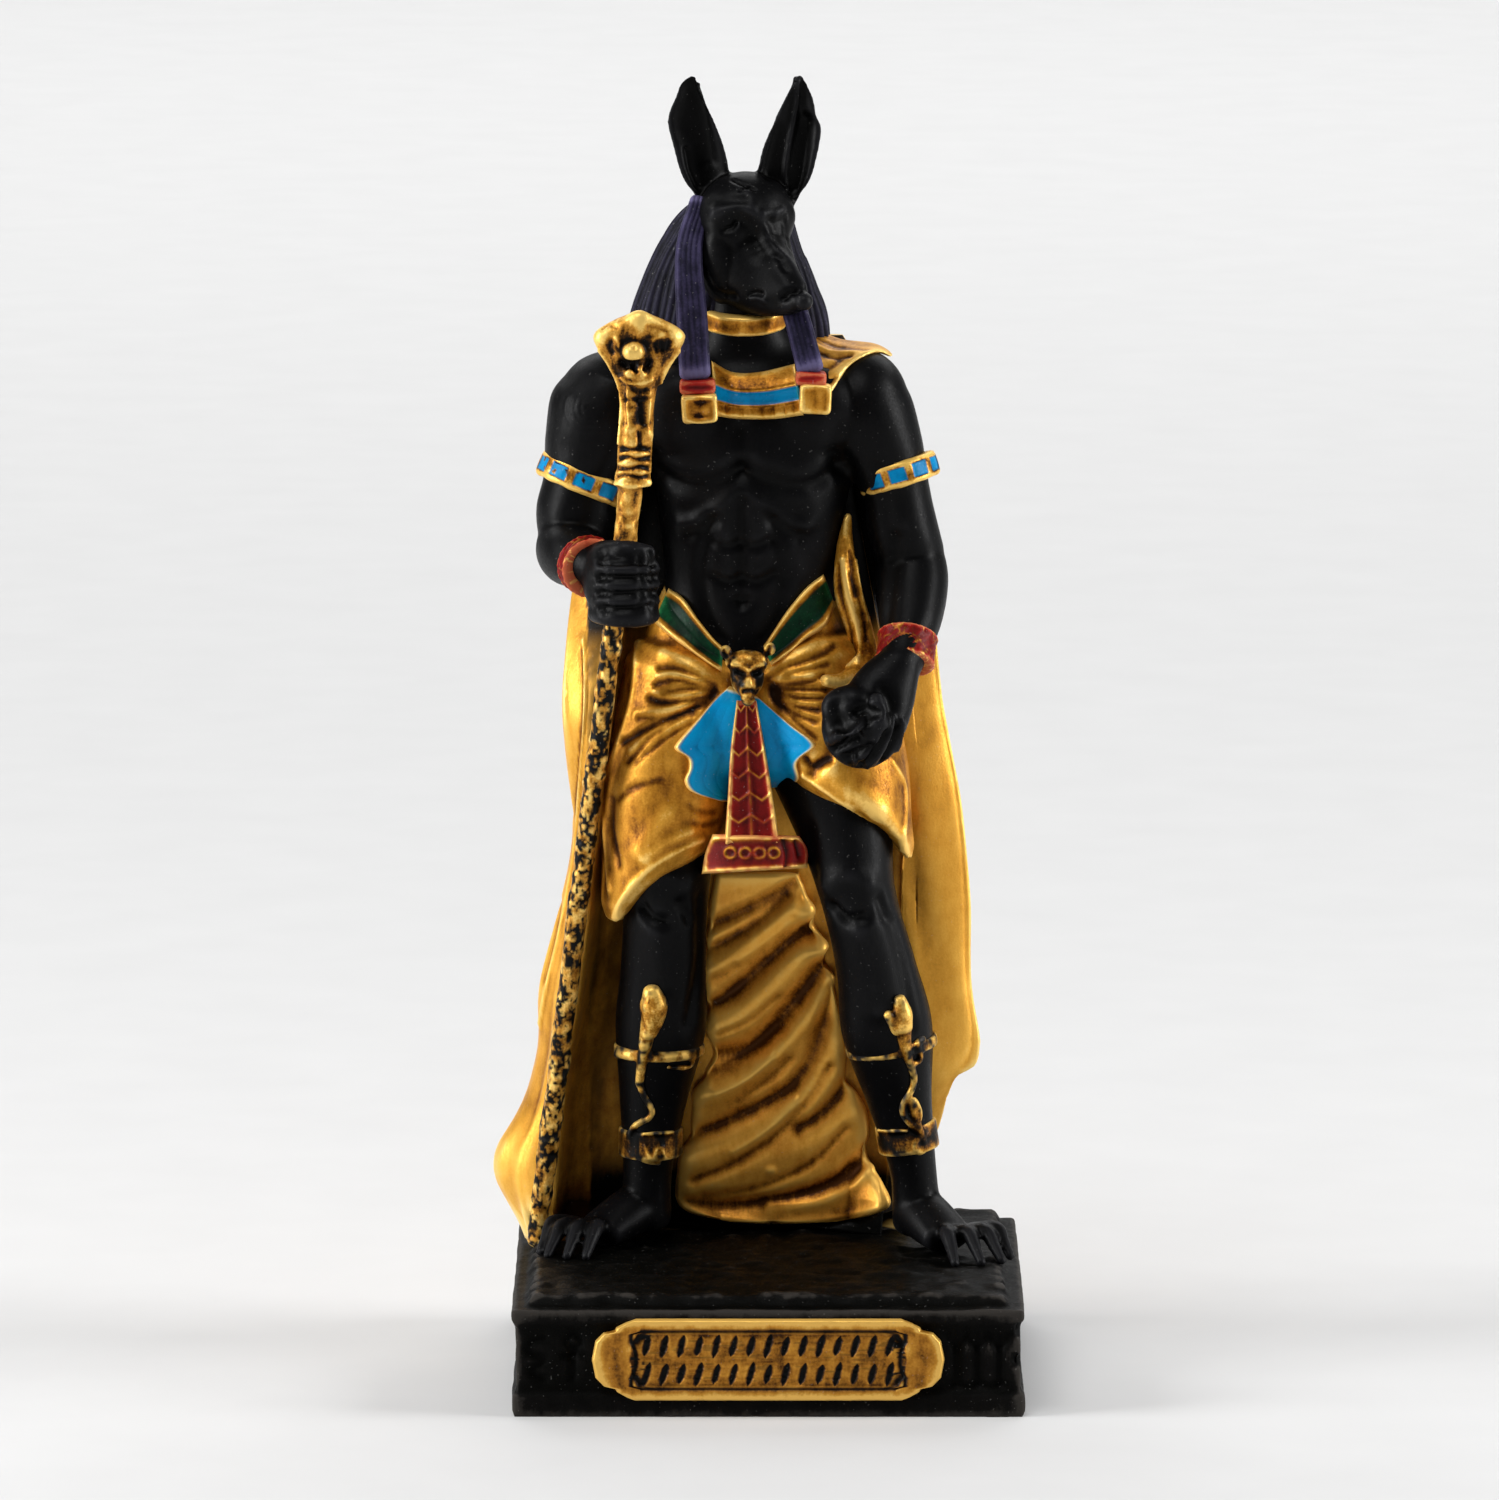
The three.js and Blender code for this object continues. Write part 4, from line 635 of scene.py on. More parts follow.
SKIN_STROKES = [
    # chest
    ([(741, 430), (742, 452), (742, 472)], 0.63, -0.22),
    ([(662, 472), (680, 482), (700, 485), (722, 479), (740, 470)], 0.69, -0.34),
    ([(745, 470), (765, 478), (790, 485), (815, 483), (838, 468)], 0.69, -0.34),
    ([(672, 462), (700, 470), (730, 460)], 1.15, 0.19),
    ([(755, 460), (790, 470), (825, 462)], 1.15, 0.19),
    # ribs
    ([(680, 524), (700, 519), (716, 508), (732, 497), (742, 494), (754, 497), (770, 508), (788, 521),
      (806, 527)], 0.52, 0.18),
    ([(690, 512), (712, 498), (742, 484), (772, 497), (796, 512)], 0.8, -0.15),
    ([(768, 514), (784, 528), (800, 536)], 0.57, -0.22),
    ([(690, 534), (702, 530), (716, 520)], 0.57, -0.19),
    # belly
    ([(742, 500), (741, 530), (742, 560), (743, 600)], 0.46, -0.29),
    ([(716, 542), (728, 547), (741, 544), (756, 547), (770, 541)], 0.4, -0.21),
    ([(714, 576), (728, 582), (742, 579), (757, 582), (772, 575)], 0.4, -0.21),
    ([(711, 520), (706, 550), (703, 580), (710, 612), (722, 634)], 0.57, -0.24),
    ([(774, 522), (778, 550), (782, 580), (776, 612), (764, 634)], 0.57, -0.24),
    ([(727, 518), (727, 534)], 0.92, 0.15), ([(757, 518), (757, 534)], 0.92, 0.15),
    ([(727, 556), (727, 570)], 0.92, 0.15), ([(758, 556), (759, 570)], 0.92, 0.15),
    ([(785, 556), (796, 574), (790, 590)], 0.8, 0.17),
    ([(736, 600), (742, 606), (749, 601)], 0.34, -0.22),
    # side of the chest
    ([(800, 482), (806, 500), (812, 516)], 1.03, 0.15),
    ([(838, 430), (832, 455), (846, 470)], 0.8, -0.26),
    # shoulders and arms
    ([(600, 440), (585, 452), (566, 450)], 0.92, -0.15),
    ([(880, 470), (884, 500), (893, 540)], 0.69, -0.19),
    ([(897, 540), (893, 575), (888, 612), (884, 640)], 0.69, -0.26),
    ([(925, 545), (934, 575), (930, 610)], 1.03, 0.11),
    ([(568, 498), (560, 515), (556, 535)], 1.03, 0.11),
    # right hand
    ([(600, 562), (620, 563), (640, 562), (656, 564)], 0.22, -0.3),
    ([(598, 578), (618, 578), (640, 578), (657, 577)], 0.22, -0.3),
    ([(598, 593), (618, 594), (640, 593), (656, 592)], 0.22, -0.3),
    ([(600, 608), (618, 609), (638, 608), (652, 606)], 0.22, -0.3),
    ([(604, 556), (601, 582), (606, 614)], 0.35, -0.12),
    ([(640, 556), (643, 582), (640, 610)], 0.3, -0.1),
    ([(650, 552), (654, 566), (652, 580)], 0.2, -0.2),
    # left hand
    ([(834, 706), (838, 720), (844, 732)], 0.8, -0.55), ([(838, 690), (846, 700), (856, 706)], 0.8, -0.2),
    ([(871, 703), (878, 704), (885, 710), (883, 718), (877, 722), (872, 718), (869, 710), (871, 703)],
     0.22, 0.2),
    ([(877, 712), (878, 713)], 0.4, -0.25),
    ([(858, 712), (866, 708), (870, 718), (866, 728), (860, 736)], 0.3, -0.4),
    ([(832, 740), (845, 735), (858, 731)], 0.4, 0.25), ([(834, 750), (846, 745), (860, 739)], 0.25, -0.6),
    ([(846, 758), (858, 753), (870, 748)], 0.4, -0.5),
    ([(893, 718), (890, 732), (884, 744), (876, 758), (866, 768)], 0.22, 0.28),
    ([(897, 726), (894, 742), (887, 756), (878, 768)], 0.25, -0.45),
    ([(903, 722), (900, 740), (894, 754), (885, 766)], 0.2, 0.25),
    ([(886, 734), (880, 748), (871, 760), (860, 770)], 0.28, -0.45),
    ([(884, 690), (890, 702), (890, 714)], 0.5, -0.25),
    ([(850, 760), (852, 768)], 0.2, -0.2), ([(858, 758), (860, 767)], 0.2, -0.2),
    ([(822, 700), (828, 690), (840, 684)], 0.5, 0.15),
]
skin = with_tree(carved(skin, SKIN_STROKES))
tool_marks = []
for size in (10, 16, 22, 28):
    turn = np.radians(np.arange(150, 300, 15))
    arc = [(594 + size * math.cos(a), 408 - size * 0.9 * math.sin(a)) for a in turn]
    tool_marks.append((arc, 0.13, 0.05))
skin = with_tree(carved(skin, tool_marks))
# Its lightest stops, on raised parts, are painted highlight on the black, and its darkest, in hollows,
# painted shade
BLACK_SKIN = {
    "stops": [(0.04, (24, 24, 26)), (0.3, (10, 10, 11)), (0.55, (6, 6, 7)), (0.85, (3, 3, 3))],
    "metallic": 0.0, "roughness": 0.4, "gloss": 0.075, "patchy": 0.04, "dust": 0.06, "grain": 0.2,
}
black_skin = paint("black_skin_paint", BLACK_SKIN)
finished("torso_and_arms", *skin[:2], black_skin, keep=0.55)

# Legs and feet: long bare legs that pass into the ground, with clawed toes spread on it.
# They are cast with the torso, and painted with the same black.
legs = [
    limb([
        [-4.4, 2.3, 38.6, 4.4, 4.4], [-6.4, 1.4, 31.2, 3.6, 3.9], [-6.9, 0.6, 25.0, 2.9, 3.2],
        [-7.1, 1.5, 19.5, 2.9, 3.0], [-7.3, 2.6, 15.2, 3.1, 3.2], [-7.8, 3.4, 10.2, 2.35, 2.4],
        [-8.2, 3.9, 5.2, 1.7, 1.9], [-8.3, 4.2, 1.6, 1.7, 2.0],
    ], sides=40, steps=70),
    limb([
        [2.0, 2.3, 38.6, 4.4, 4.4], [4.7, 0.0, 31.6, 3.7, 3.9], [6.0, -1.4, 25.4, 2.6, 3.1],
        [7.3, -0.6, 20.0, 2.7, 2.9], [8.1, 0.6, 15.4, 3.1, 3.2], [9.0, 1.6, 10.2, 2.2, 2.3],
        [9.9, 2.3, 5.4, 1.6, 1.8], [10.2, 2.6, 1.6, 1.7, 1.9],
    ], sides=40, steps=70),
]
RIGHT_TOES = [[-14.6, 1.4, -15.5, -0.9], [-14.0, 0.3, -15.0, -2.0], [-12.9, -0.2, -13.7, -2.3],
              [-11.7, -0.3, -12.4, -2.4]]
LEFT_TOES = [[12.2, -2.4, 12.7, -4.6], [13.6, -2.1, 14.5, -4.3], [14.8, -1.6, 15.9, -3.7],
             [15.5, -0.6, 16.5, -2.3]]


def foot(heel, instep, toes):
    # A foot from heel to instep, and toes that are noted by their knuckle and their tip
    midway = [(heel[0] + instep[0]) / 2, (heel[1] + instep[1]) / 2]
    forms = [limb([[*heel, 2.6, 1.8, 1.7], [*midway, 1.9, 1.9, 1.6], [*instep, 1.2, 1.9, 1.2]], facing=UP)]
    for knee_x, knee_y, tip_x, tip_y in toes:
        root = [(instep[0] + knee_x) / 2, (instep[1] + knee_y) / 2, 1.6, 0.62]
        joint = [(knee_x + tip_x) / 2, (knee_y + tip_y) / 2, 1.0, 0.46]
        toe = [root, [knee_x, knee_y, 1.75, 0.58], joint, [tip_x, tip_y, 0.1, 0.34]]
        forms.append(limb(toe, sides=14, steps=18, facing=UP))
    return forms


feet = foot([-8.3, 4.2], [-11.4, 1.6], RIGHT_TOES) + foot([10.1, 2.6], [12.2, -0.6], LEFT_TOES)
legs = with_tree(as_one([*legs, *feet], 0.2, 5))
LEG_STROKES = [
    # right knee and shin
    ([(652, 880), (668, 876), (686, 884)], 0.8, 0.25),
    ([(643, 908), (652, 918), (664, 922)], 0.5, -0.4),
    ([(680, 905), (690, 920)], 0.5, -0.3),
    ([(655, 930), (660, 960), (662, 985)], 0.8, 0.2),
    ([(700, 900), (700, 960), (690, 1020)], 0.6, -0.25),
    # left knee and shin
    ([(828, 886), (848, 878), (868, 884)], 0.8, 0.25),
    ([(834, 908), (848, 920), (862, 918)], 0.5, -0.4),
    ([(880, 900), (886, 916)], 0.5, -0.25),
    ([(862, 930), (872, 970), (880, 1010)], 0.9, 0.3),
    ([(893, 925), (905, 975), (912, 1030)], 0.7, -0.25),
    # thighs
    ([(840, 800), (850, 840), (852, 868)], 0.8, 0.15),
    ([(810, 830), (815, 870)], 0.6, -0.2),
]
legs = with_tree(carved(legs, LEG_STROKES))
finished("legs_and_feet", *legs[:2], black_skin, keep=0.5)

# Head: a jackal's, turned and bowed, with a heavy brow, a deep wedge of a muzzle, and tall hollow ears. It is
# cast with the torso and painted the same black. Its forms are noted from the middle of the skull: forward
# to the nose, sideways, and up.
HEAD_TURN = math.radians(36)
HEAD_PLACE = np.array([-1.5, 1.3, 69.6])


def on_head(forward, side, up, *girth):
    # A station on the figure from one noted on the head
    x, y, z = HEAD_PLACE
    sin, cos = math.sin(HEAD_TURN), math.cos(HEAD_TURN)
    return [x + forward * sin + side * cos, y - forward * cos + side * sin, z + up, *girth]


def wedge(stations, sides=48, steps=60):
    # Sections of forward, top, bottom, half width above and half width below, with rounded corners
    line = smooth_line(stations, np.linspace(0, 1, steps + 1))
    angle = 2 * np.pi * np.arange(sides) / sides
    cos, sin = np.cos(angle), np.sin(angle)
    level = (np.sign(sin) * np.abs(sin) ** 0.8 + 1) / 2
    rings = []
    for forward, top, bottom, wide_top, wide_bottom in line:
        side = np.sign(cos) * np.abs(cos) ** 0.75 * (wide_bottom + (wide_top - wide_bottom) * level)
        up = bottom + (top - bottom) * level
        rings.append([at(*on_head(forward, s, u)) for s, u in zip(side, up)])
    return lofted(np.array(rings))


head_forms = [
    egg(*on_head(0, 0, 1.2), 3.3, 3.3, 3.1),
    egg(*on_head(-0.5, 0, -1.2), 3.1, 3.1, 3.2),
    wedge([
        [-1.6, 2.6, -4.0, 2.7, 2.5],
        [0.2, 3.6, -4.9, 2.8, 3.05],
        [1.6, 2.8, -5.2, 2.2, 2.85],
        [2.6, 1.1, -5.2, 1.8, 2.55],
        [3.8, -0.3, -5.1, 1.3, 2.0],
        [5.0, -1.7, -4.9, 0.95, 1.45],
        [6.0, -2.9, -4.5, 0.75, 1.0],
        [6.6, -3.4, -4.1, 0.55, 0.65],
    ]),
    egg(*on_head(6.6, 0, -3.8), 0.65, 0.75, 0.66),
    egg(*on_head(1.6, 1.5, 1.3), 1.2, 1.3, 1.5),
    egg(*on_head(0.2, -1.75, -1.5), 1.8, 1.7, 3.1),
]
LEFT_EAR = (
    [(700, 204), (693, 192), (686, 183), (680, 170), (673, 144), (668, 124), (670, 111), (676, 97), (681, 84),
     (691, 75)],
    [(733, 196), (731, 182), (729, 165), (725, 148), (720, 133), (714, 117), (707, 99), (702, 86), (697, 78),
     (693, 75)],
)
RIGHT_EAR = (
    [(750, 192), (757, 172), (762, 151), (768, 134), (776, 117), (783, 103), (789, 91), (794, 82), (798, 78),
     (800, 75)],
    [(790, 212), (800, 198), (811, 180), (817, 160), (821, 140), (822, 127), (817, 115), (814, 99), (808, 85),
     (802, 75)],
)


def marks_between(edge_a, edge_b, rows, share):
    # Rows of marks from one drawn edge to the other, at the given shares of the way
    side_a, side_b = drawn(edge_a, rows), drawn(edge_b, rows)
    return side_a[:, None] + (side_b - side_a)[:, None] * share[None, :, None]


def ear(edges, rows=90, columns=50):
    # A tall leaf between two edges, with a rim, hollow in front and rounded behind
    share = np.linspace(0, 1, columns)
    marks = marks_between(*edges, rows, share)
    up = np.linspace(0, 1, rows)[:, None]
    depth = 1.7 - 0.7 * up + 0 * share
    broad = np.sqrt(np.clip(1 - (2 * up - 0.75) ** 2 / 1.7, 0, 1))
    bowl = np.sin(np.pi * share) ** 0.8
    rim = 0.35 * np.minimum(1, 12 * np.minimum(share, 1 - share)) ** 0.5
    front = placed(marks, depth - rim * broad + 0.8 * bowl * broad)
    back = placed(marks, depth + (0.2 + 1.3 * bowl) * broad)
    return closed_sheet(front, back)


head = with_tree(as_one([*head_forms, ear(LEFT_EAR), ear(RIGHT_EAR)], 0.13, 12))
HEAD_STROKES = [
    # forehead and furrows
    ([(734, 180), (744, 185), (755, 190)], 0.16, -0.2),
    ([(741, 191), (750, 187)], 0.14, -0.14),
    ([(714, 203), (728, 202), (742, 200)], 0.5, -0.12),
    ([(745, 192), (752, 200), (752, 210)], 0.5, 0.12),
    # brow: a slanting ridge that runs on as the edge of the muzzle
    ([(718, 212), (730, 209), (742, 208), (753, 213), (762, 222), (768, 236)], 0.42, 0.2),
    ([(766, 236), (772, 244), (781, 253), (790, 262), (797, 274), (803, 284)], 0.4, 0.2),
    ([(738, 222), (748, 228), (756, 238), (762, 250)], 0.95, -0.42),
    ([(765, 214), (776, 214), (784, 210)], 0.3, 0.16),
    # eyes
    ([(726, 229), (731, 228), (735, 224)], 0.22, -0.32),
    ([(737, 226), (739, 234), (737, 243)], 0.3, 0.1),
    ([(718, 236), (728, 238)], 0.5, 0.1),
    ([(772, 221), (776, 224), (781, 222)], 0.5, -0.28),
    ([(786, 216), (787, 232), (790, 246)], 0.3, -0.14),
    # cheek and jaw
    ([(714, 218), (713, 240), (717, 264), (726, 284)], 1.5, 0.3),
    ([(778, 256), (781, 259)], 0.25, -0.14), ([(783, 266), (786, 270)], 0.25, -0.12),
    ([(707, 270), (713, 284), (722, 292), (736, 295)], 0.3, -0.22),
    # mouth and nostril
    ([(751, 294), (756, 293), (762, 294)], 0.16, -0.24),
    ([(752, 298), (759, 298), (766, 301)], 0.16, 0.12),
    ([(784, 297), (790, 292), (797, 291)], 0.26, -0.36),
    ([(776, 304), (786, 300)], 0.5, -0.12),
    # ears
    ([(798, 80), (796, 110), (790, 141), (786, 170), (786, 190)], 0.22, 0.3),
    ([(805, 120), (803, 150), (800, 172), (796, 188)], 0.5, -0.35),
    ([(779, 130), (773, 155), (768, 178)], 0.5, -0.2),
    ([(687, 150), (691, 170), (698, 186)], 0.25, -0.18),
    ([(699, 90), (703, 120), (708, 160)], 0.6, -0.3),
]
head = with_tree(carved(head, HEAD_STROKES))
finished("head_and_ears", *head[:2], black_skin, spacing=0.13, keep=0.8)

# Wig: a flaring mass of straight locks that falls on the back, and two lappets that hang in front of the
# shoulders. It is cast with the head, grooved lock by lock, and painted indigo over black.
WIG_LOCKS = 56


def locks(angle, share):
    # Grooves round the wig, one for each lock, which wave a little on the way down
    wave = angle + 0.03 * np.sin(9 * share + 5 * angle)
    groove = np.abs(np.sin(WIG_LOCKS / 2 * wave)) ** 0.6
    broad = np.sin(7 * wave + 1.0) * 0.012 + np.sin(16 * wave) * 0.014
    return 1 + broad + 0.032 * (groove - 0.7)


wig = limb(
    [
        [-1.4, 2.8, 72.2, 1.8, 2.2],
        [-1.6, 3.2, 70.9, 3.4, 3.2],
        [-2.15, 3.4, 68.6, 4.8, 3.6],
        [-2.45, 3.6, 66.2, 5.8, 3.8],
        [-2.55, 3.9, 63.4, 6.65, 3.7],
        [-2.6, 4.6, 59.2, 6.8, 3.4],
    ],
    sides=WIG_LOCKS * 8, steps=90, swell=locks, cap=0.25,
)


def strands(angle, share):
    # A flattened section with fine grooves
    flat = 1 / (np.abs(np.cos(angle)) ** 5 + np.abs(np.sin(angle)) ** 5) ** 0.2
    return flat * 0.93 * (1 + 0.05 * (np.abs(np.sin(9 * angle)) ** 0.7 - 0.6))


right_lappet = limb([
    [-4.6, 1.4, 71.6, 0.8, 1.0], [-5.3, -0.8, 68.8, 0.95, 0.9], [-5.1, -2.4, 64.4, 1.1, 0.8],
    [-4.9, -3.3, 60.8, 1.1, 0.75],
], sides=144, steps=80, swell=strands)
left_lappet = limb([
    [0.9, -0.6, 66.4, 0.8, 0.8], [1.8, -1.9, 64.8, 0.9, 0.85], [2.8, -3.2, 61.2, 0.95, 0.75],
], sides=144, steps=60, swell=strands)
LAPPET_PURPLE = {
    "stops": [(0.12, (92, 86, 120)), (0.38, (58, 53, 82)), (0.6, (27, 25, 42)), (0.88, (6, 6, 11))],
    "metallic": 0.0, "roughness": 0.48, "gloss": 0.08, "patchy": 0.08, "dust": 0.12,
}
WIG_INDIGO = LAPPET_PURPLE | {
    "stops": [(0.1, (66, 62, 90)), (0.36, (36, 34, 50)), (0.6, (16, 15, 25)), (0.88, (4, 4, 8))],
}
finished("wig", *wig, paint("wig_indigo", WIG_INDIGO), spacing=0.16, keep=0.7)
finished("lappets", *joined([right_lappet, left_lappet]), paint("lappet_purple", LAPPET_PURPLE),
         spacing=0.16, keep=0.6)

# Lappet ends: a red band and a gold cap that close each lappet. They are cast on it as soft flat blocks,
# raised a little, with shallow lines, and are painted over.


def rounded_block(low, high, corner, turn):
    # A block between two corners, with softened edges, turned a little in the plane of the front
    bpy.ops.mesh.primitive_cube_add(size=1)
    block = bpy.context.object
    size = np.array(high) - np.array(low)
    block.scale = size
    bpy.ops.object.transform_apply(location=False, rotation=False, scale=True)
    bevel = block.modifiers.new("Bevel", "BEVEL")
    bevel.width, bevel.segments = corner, 4
    bpy.ops.object.modifier_apply(modifier="Bevel")
    points = np.array([vertex.co[:] for vertex in block.data.vertices])
    faces = [list(face.vertices) for face in block.data.polygons]
    faces = np.array([face + face[-1:] * (4 - len(face)) for face in faces if len(face) < 5])
    bpy.data.objects.remove(block)
    cos, sin = math.cos(turn), math.sin(turn)
    points = points @ np.array([[cos, 0, sin], [0, 1, 0], [-sin, 0, cos]])
    return points + (np.array(low) + np.array(high)) / 2, faces


def block_at(u0, v0, u1, v1, depth, thick, corner=0.3, turn=0.0):
    # A softened block that fills a rectangle of the picture, its front at the given depth
    (x0, _, z1), (x1, _, z0) = placed([(u0, v0), (u1, v1)], depth)
    return rounded_block((x0, depth, z0), (x1, depth + thick, z1), corner, turn)


cap_forms = as_one([
    block_at(682, 395, 718, 424, -4.5, 1.4, turn=0.06),
    block_at(800, 385, 832, 415, -4.4, 1.4, turn=-0.05),
], 0.1, 6)
CAP_STROKES = [
    ([(692, 403), (709, 404), (708, 416), (692, 414), (692, 403)], 0.3, -0.14),
    ([(700, 404), (700, 414)], 0.5, -0.12),
    ([(684, 398), (700, 400), (716, 398)], 0.14, 0.08), ([(687, 420), (700, 423), (714, 421)], 0.14, 0.08),
    ([(808, 392), (824, 391), (825, 407)], 0.25, -0.1),
]
cap_forms = carved(cap_forms, CAP_STROKES)
AMBER = {
    "stops": [(0.1, (246, 200, 106)), (0.3, (214, 154, 58)), (0.52, (176, 114, 30)), (0.74, (102, 58, 12)),
              (0.96, (34, 17, 6))],
    "metallic": 0.4, "roughness": 0.34, "patchy": 0.16, "dust": 0.08,
}
CAP_GOLD = AMBER | {
    "stops": [(0.1, (246, 204, 112)), (0.36, (216, 156, 60)), (0.66, (184, 122, 36)), (0.88, (120, 72, 18)),
              (0.99, (40, 20, 6))],
}
finished("lappet_caps", *cap_forms, paint("cap_gold", CAP_GOLD), spacing=0.1)
band_forms = as_one([
    block_at(680, 381, 716, 395, -4.3, 2.0, 0.28, turn=0.04),
    block_at(796, 373, 827, 387, -4.2, 2.0, 0.28, turn=-0.08),
], 0.1, 6)
RED = {
    "stops": [(0.02, (190, 96, 64)), (0.2, (160, 38, 27)), (0.5, (124, 20, 18)), (0.85, (50, 10, 9))],
    "metallic": 0.0, "roughness": 0.4, "patchy": 0.08, "dust": 0.12,
}
BAND_STROKES = [([(682, 388), (714, 388)], 0.12, -0.12), ([(797, 380), (826, 378)], 0.12, -0.12)]
band_forms = carved(band_forms, BAND_STROKES)
finished("lappet_bands", *band_forms, paint("lappet_red", RED), spacing=0.1)

# Collar: a choker round the neck, and a broad flat collar on the chest in rows of gold, blue and gold
# beads. It is cast with the torso and painted row by row.


def hoop(centre, along, wide, deep, high, relief=0.32, root=0.7, around=160, pattern=None):
    # A raised band round a limb, closed below the skin
    along = np.asarray(along, float) / np.linalg.norm(along)
    across = np.cross(along, TO_VIEWER)
    across /= np.linalg.norm(across)
    depth = np.cross(across, along)
    corner = np.radians(np.linspace(0, 90, 6))
    soft = min(relief * 0.9, 0.28)
    outer = [(relief - soft + soft * math.cos(a), high / 2 - soft + soft * math.sin(a)) for a in corner]
    across_band = [(relief, z) for z in np.linspace(-1, 1, 17)[1:-1] * (high / 2 - soft)]
    profile = np.array([(r, -z) for r, z in outer[::-1]] + across_band + outer
                       + [(-root, high / 2), (-root, -high / 2)])
    angle = np.linspace(0, 2 * np.pi, around, endpoint=False)
    rings = []
    for turn in angle:
        spoke = across * math.cos(turn) * wide + depth * math.sin(turn) * deep
        outward = spoke / np.linalg.norm(spoke)
        lift = np.array([pattern(turn, z / high) if pattern and r > 0.6 * relief else 0 for r, z in profile])
        out, up = (profile[:, 0] + lift)[:, None], profile[:, 1][:, None]
        rings.append(centre + spoke + outward * out + along * up)
    rows, columns = len(angle), len(profile)
    index = np.arange(rows * columns).reshape(rows, columns)
    below, right = np.roll(index, -1, axis=0), np.roll(index, -1, axis=1)
    quads = np.stack([index, right, np.roll(below, -1, axis=1), below], -1).reshape(-1, 4)
    points, faces = outwards(np.vstack(rings), quads)
    turns, heights = np.repeat(angle, columns), np.tile(profile[:, 1] / high, rows)
    return points, faces, turns, heights


def laid(edge_a, edge_b, under, rows, columns, lift, root=0.5, ease=6):
    # A closed sheet laid on the form under it, between two drawn edges
    share = np.linspace(0, 1, columns)
    marks = marks_between(edge_a, edge_b, rows, share)
    touch = under(marks) if callable(under) else seen_on(under, marks)
    far = touch @ INWARDS
    for _ in range(ease):
        padded = np.pad(far, 1, mode="edge")
        far = (padded[:-2, 1:-1] + padded[2:, 1:-1] + padded[1:-1, :-2] + padded[1:-1, 2:]) / 4
    touch = touch + INWARDS * (far - touch @ INWARDS)[..., None]
    s, t = np.meshgrid(share, np.linspace(0, 1, rows))
    front = touch - INWARDS * lift(s, t)[..., None]
    points, faces = closed_sheet(front, touch + INWARDS * root)
    return points, faces, np.tile(s.ravel(), 2), np.tile(t.ravel(), 2)


def soft_edge(s, width):
    # Rises from 0 at both edges to 1 within the width, as a rounded shoulder does
    return np.sqrt(np.clip(1 - (1 - np.clip(np.minimum(s, 1 - s) / width, 0, 1)) ** 2, 0, 1))


def hammered(turn, z):
    # A wavy surface between two raised rims
    return 0.03 * math.sin(9 * turn + 4 * z) + 0.06 * math.exp(-((abs(z) - 0.42) / 0.1) ** 2)


choker = hoop(at(-1.6, 1.2, 64.1), (0, -0.14, 1), 2.45, 2.5, 1.35, relief=0.35, around=200, pattern=hammered)
finished("choker", *choker[:2], paint("choker_gold", AMBER), spacing=0.12)


def collar_lift(out, along):
    # Two raised lines and a row of beads; out runs from the neck to the outer edge
    beads = np.abs(np.sin(along * np.pi * 6 + 0.8 * np.sin(9 * along))) ** 0.6
    lines = np.exp(-((out - 0.4) / 0.04) ** 2) + np.exp(-((out - 0.72) / 0.04) ** 2)
    lift = 0.42 + 0.1 * lines + np.where(out > 0.76, 0.1 * beads, 0)
    return lift * soft_edge(along, 0.03) * soft_edge(out, 0.08)


COLLAR_NECK = [(712, 361), (733, 372), (760, 372), (795, 364)]
COLLAR_OUTER = [(716, 416), (740, 419), (775, 419), (804, 415)]
collar = laid(COLLAR_NECK, COLLAR_OUTER, skin, 150, 60, collar_lift, root=0.6)
blue_row = np.clip((collar[2] - 0.41) / 0.03, 0, 1) * np.clip((0.71 - collar[2]) / 0.03, 0, 1)
BLUE = {
    "stops": [(0.04, (96, 206, 232)), (0.28, (8, 152, 204)), (0.6, (0, 128, 184)), (0.95, (0, 62, 96))],
    "metallic": 0.0, "roughness": 0.38, "patchy": 0.07, "dust": 0.12,
}
finished("collar", *collar[:2], paint("collar_paint", AMBER, BLUE), trim=blue_row, spacing=0.16, keep=0.7)

# Kilt: pleated cloth gathered at the buckle, round the hips and over both thighs down to slanting hems.
# It is cast with the figure and painted gold, with the pleats as rays from the buckle.
RIGHT_HEM = [[-13.0, 21.0], [-10.1, 21.4], [-9.7, 22.6], [-8.5, 24.4],
             [-7.1, 25.7], [-5.3, 26.7], [-3.9, 27.5], [-2.4, 27.9]]
LEFT_HEM = [[0.6, 32.0], [3.1, 31.6], [4.4, 31.1], [6.4, 30.2],
            [8.0, 28.6], [9.0, 26.9], [9.5, 25.2], [12.0, 24.6]]
WAISTLINE = [[-7.3, 46.1], [-3.4, 41.6], [-1.5, 40.6], [0.3, 41.6], [4.0, 46.3]]


def down_to(hem, shell, top):
    # Draws a form out or in so that its lower end follows the hem
    points, faces = shell
    low = points[:, 2].min()
    hem_x, hem_z = np.array(hem).T
    wanted = GROUND + np.interp(points[:, 0], hem_x, hem_z)
    top = GROUND + top
    share = np.clip((top - points[:, 2]) / (top - low), 0, 1)
    points[:, 2] = np.where(points[:, 2] < top, top - share * (top - wanted), points[:, 2])
    return points, faces


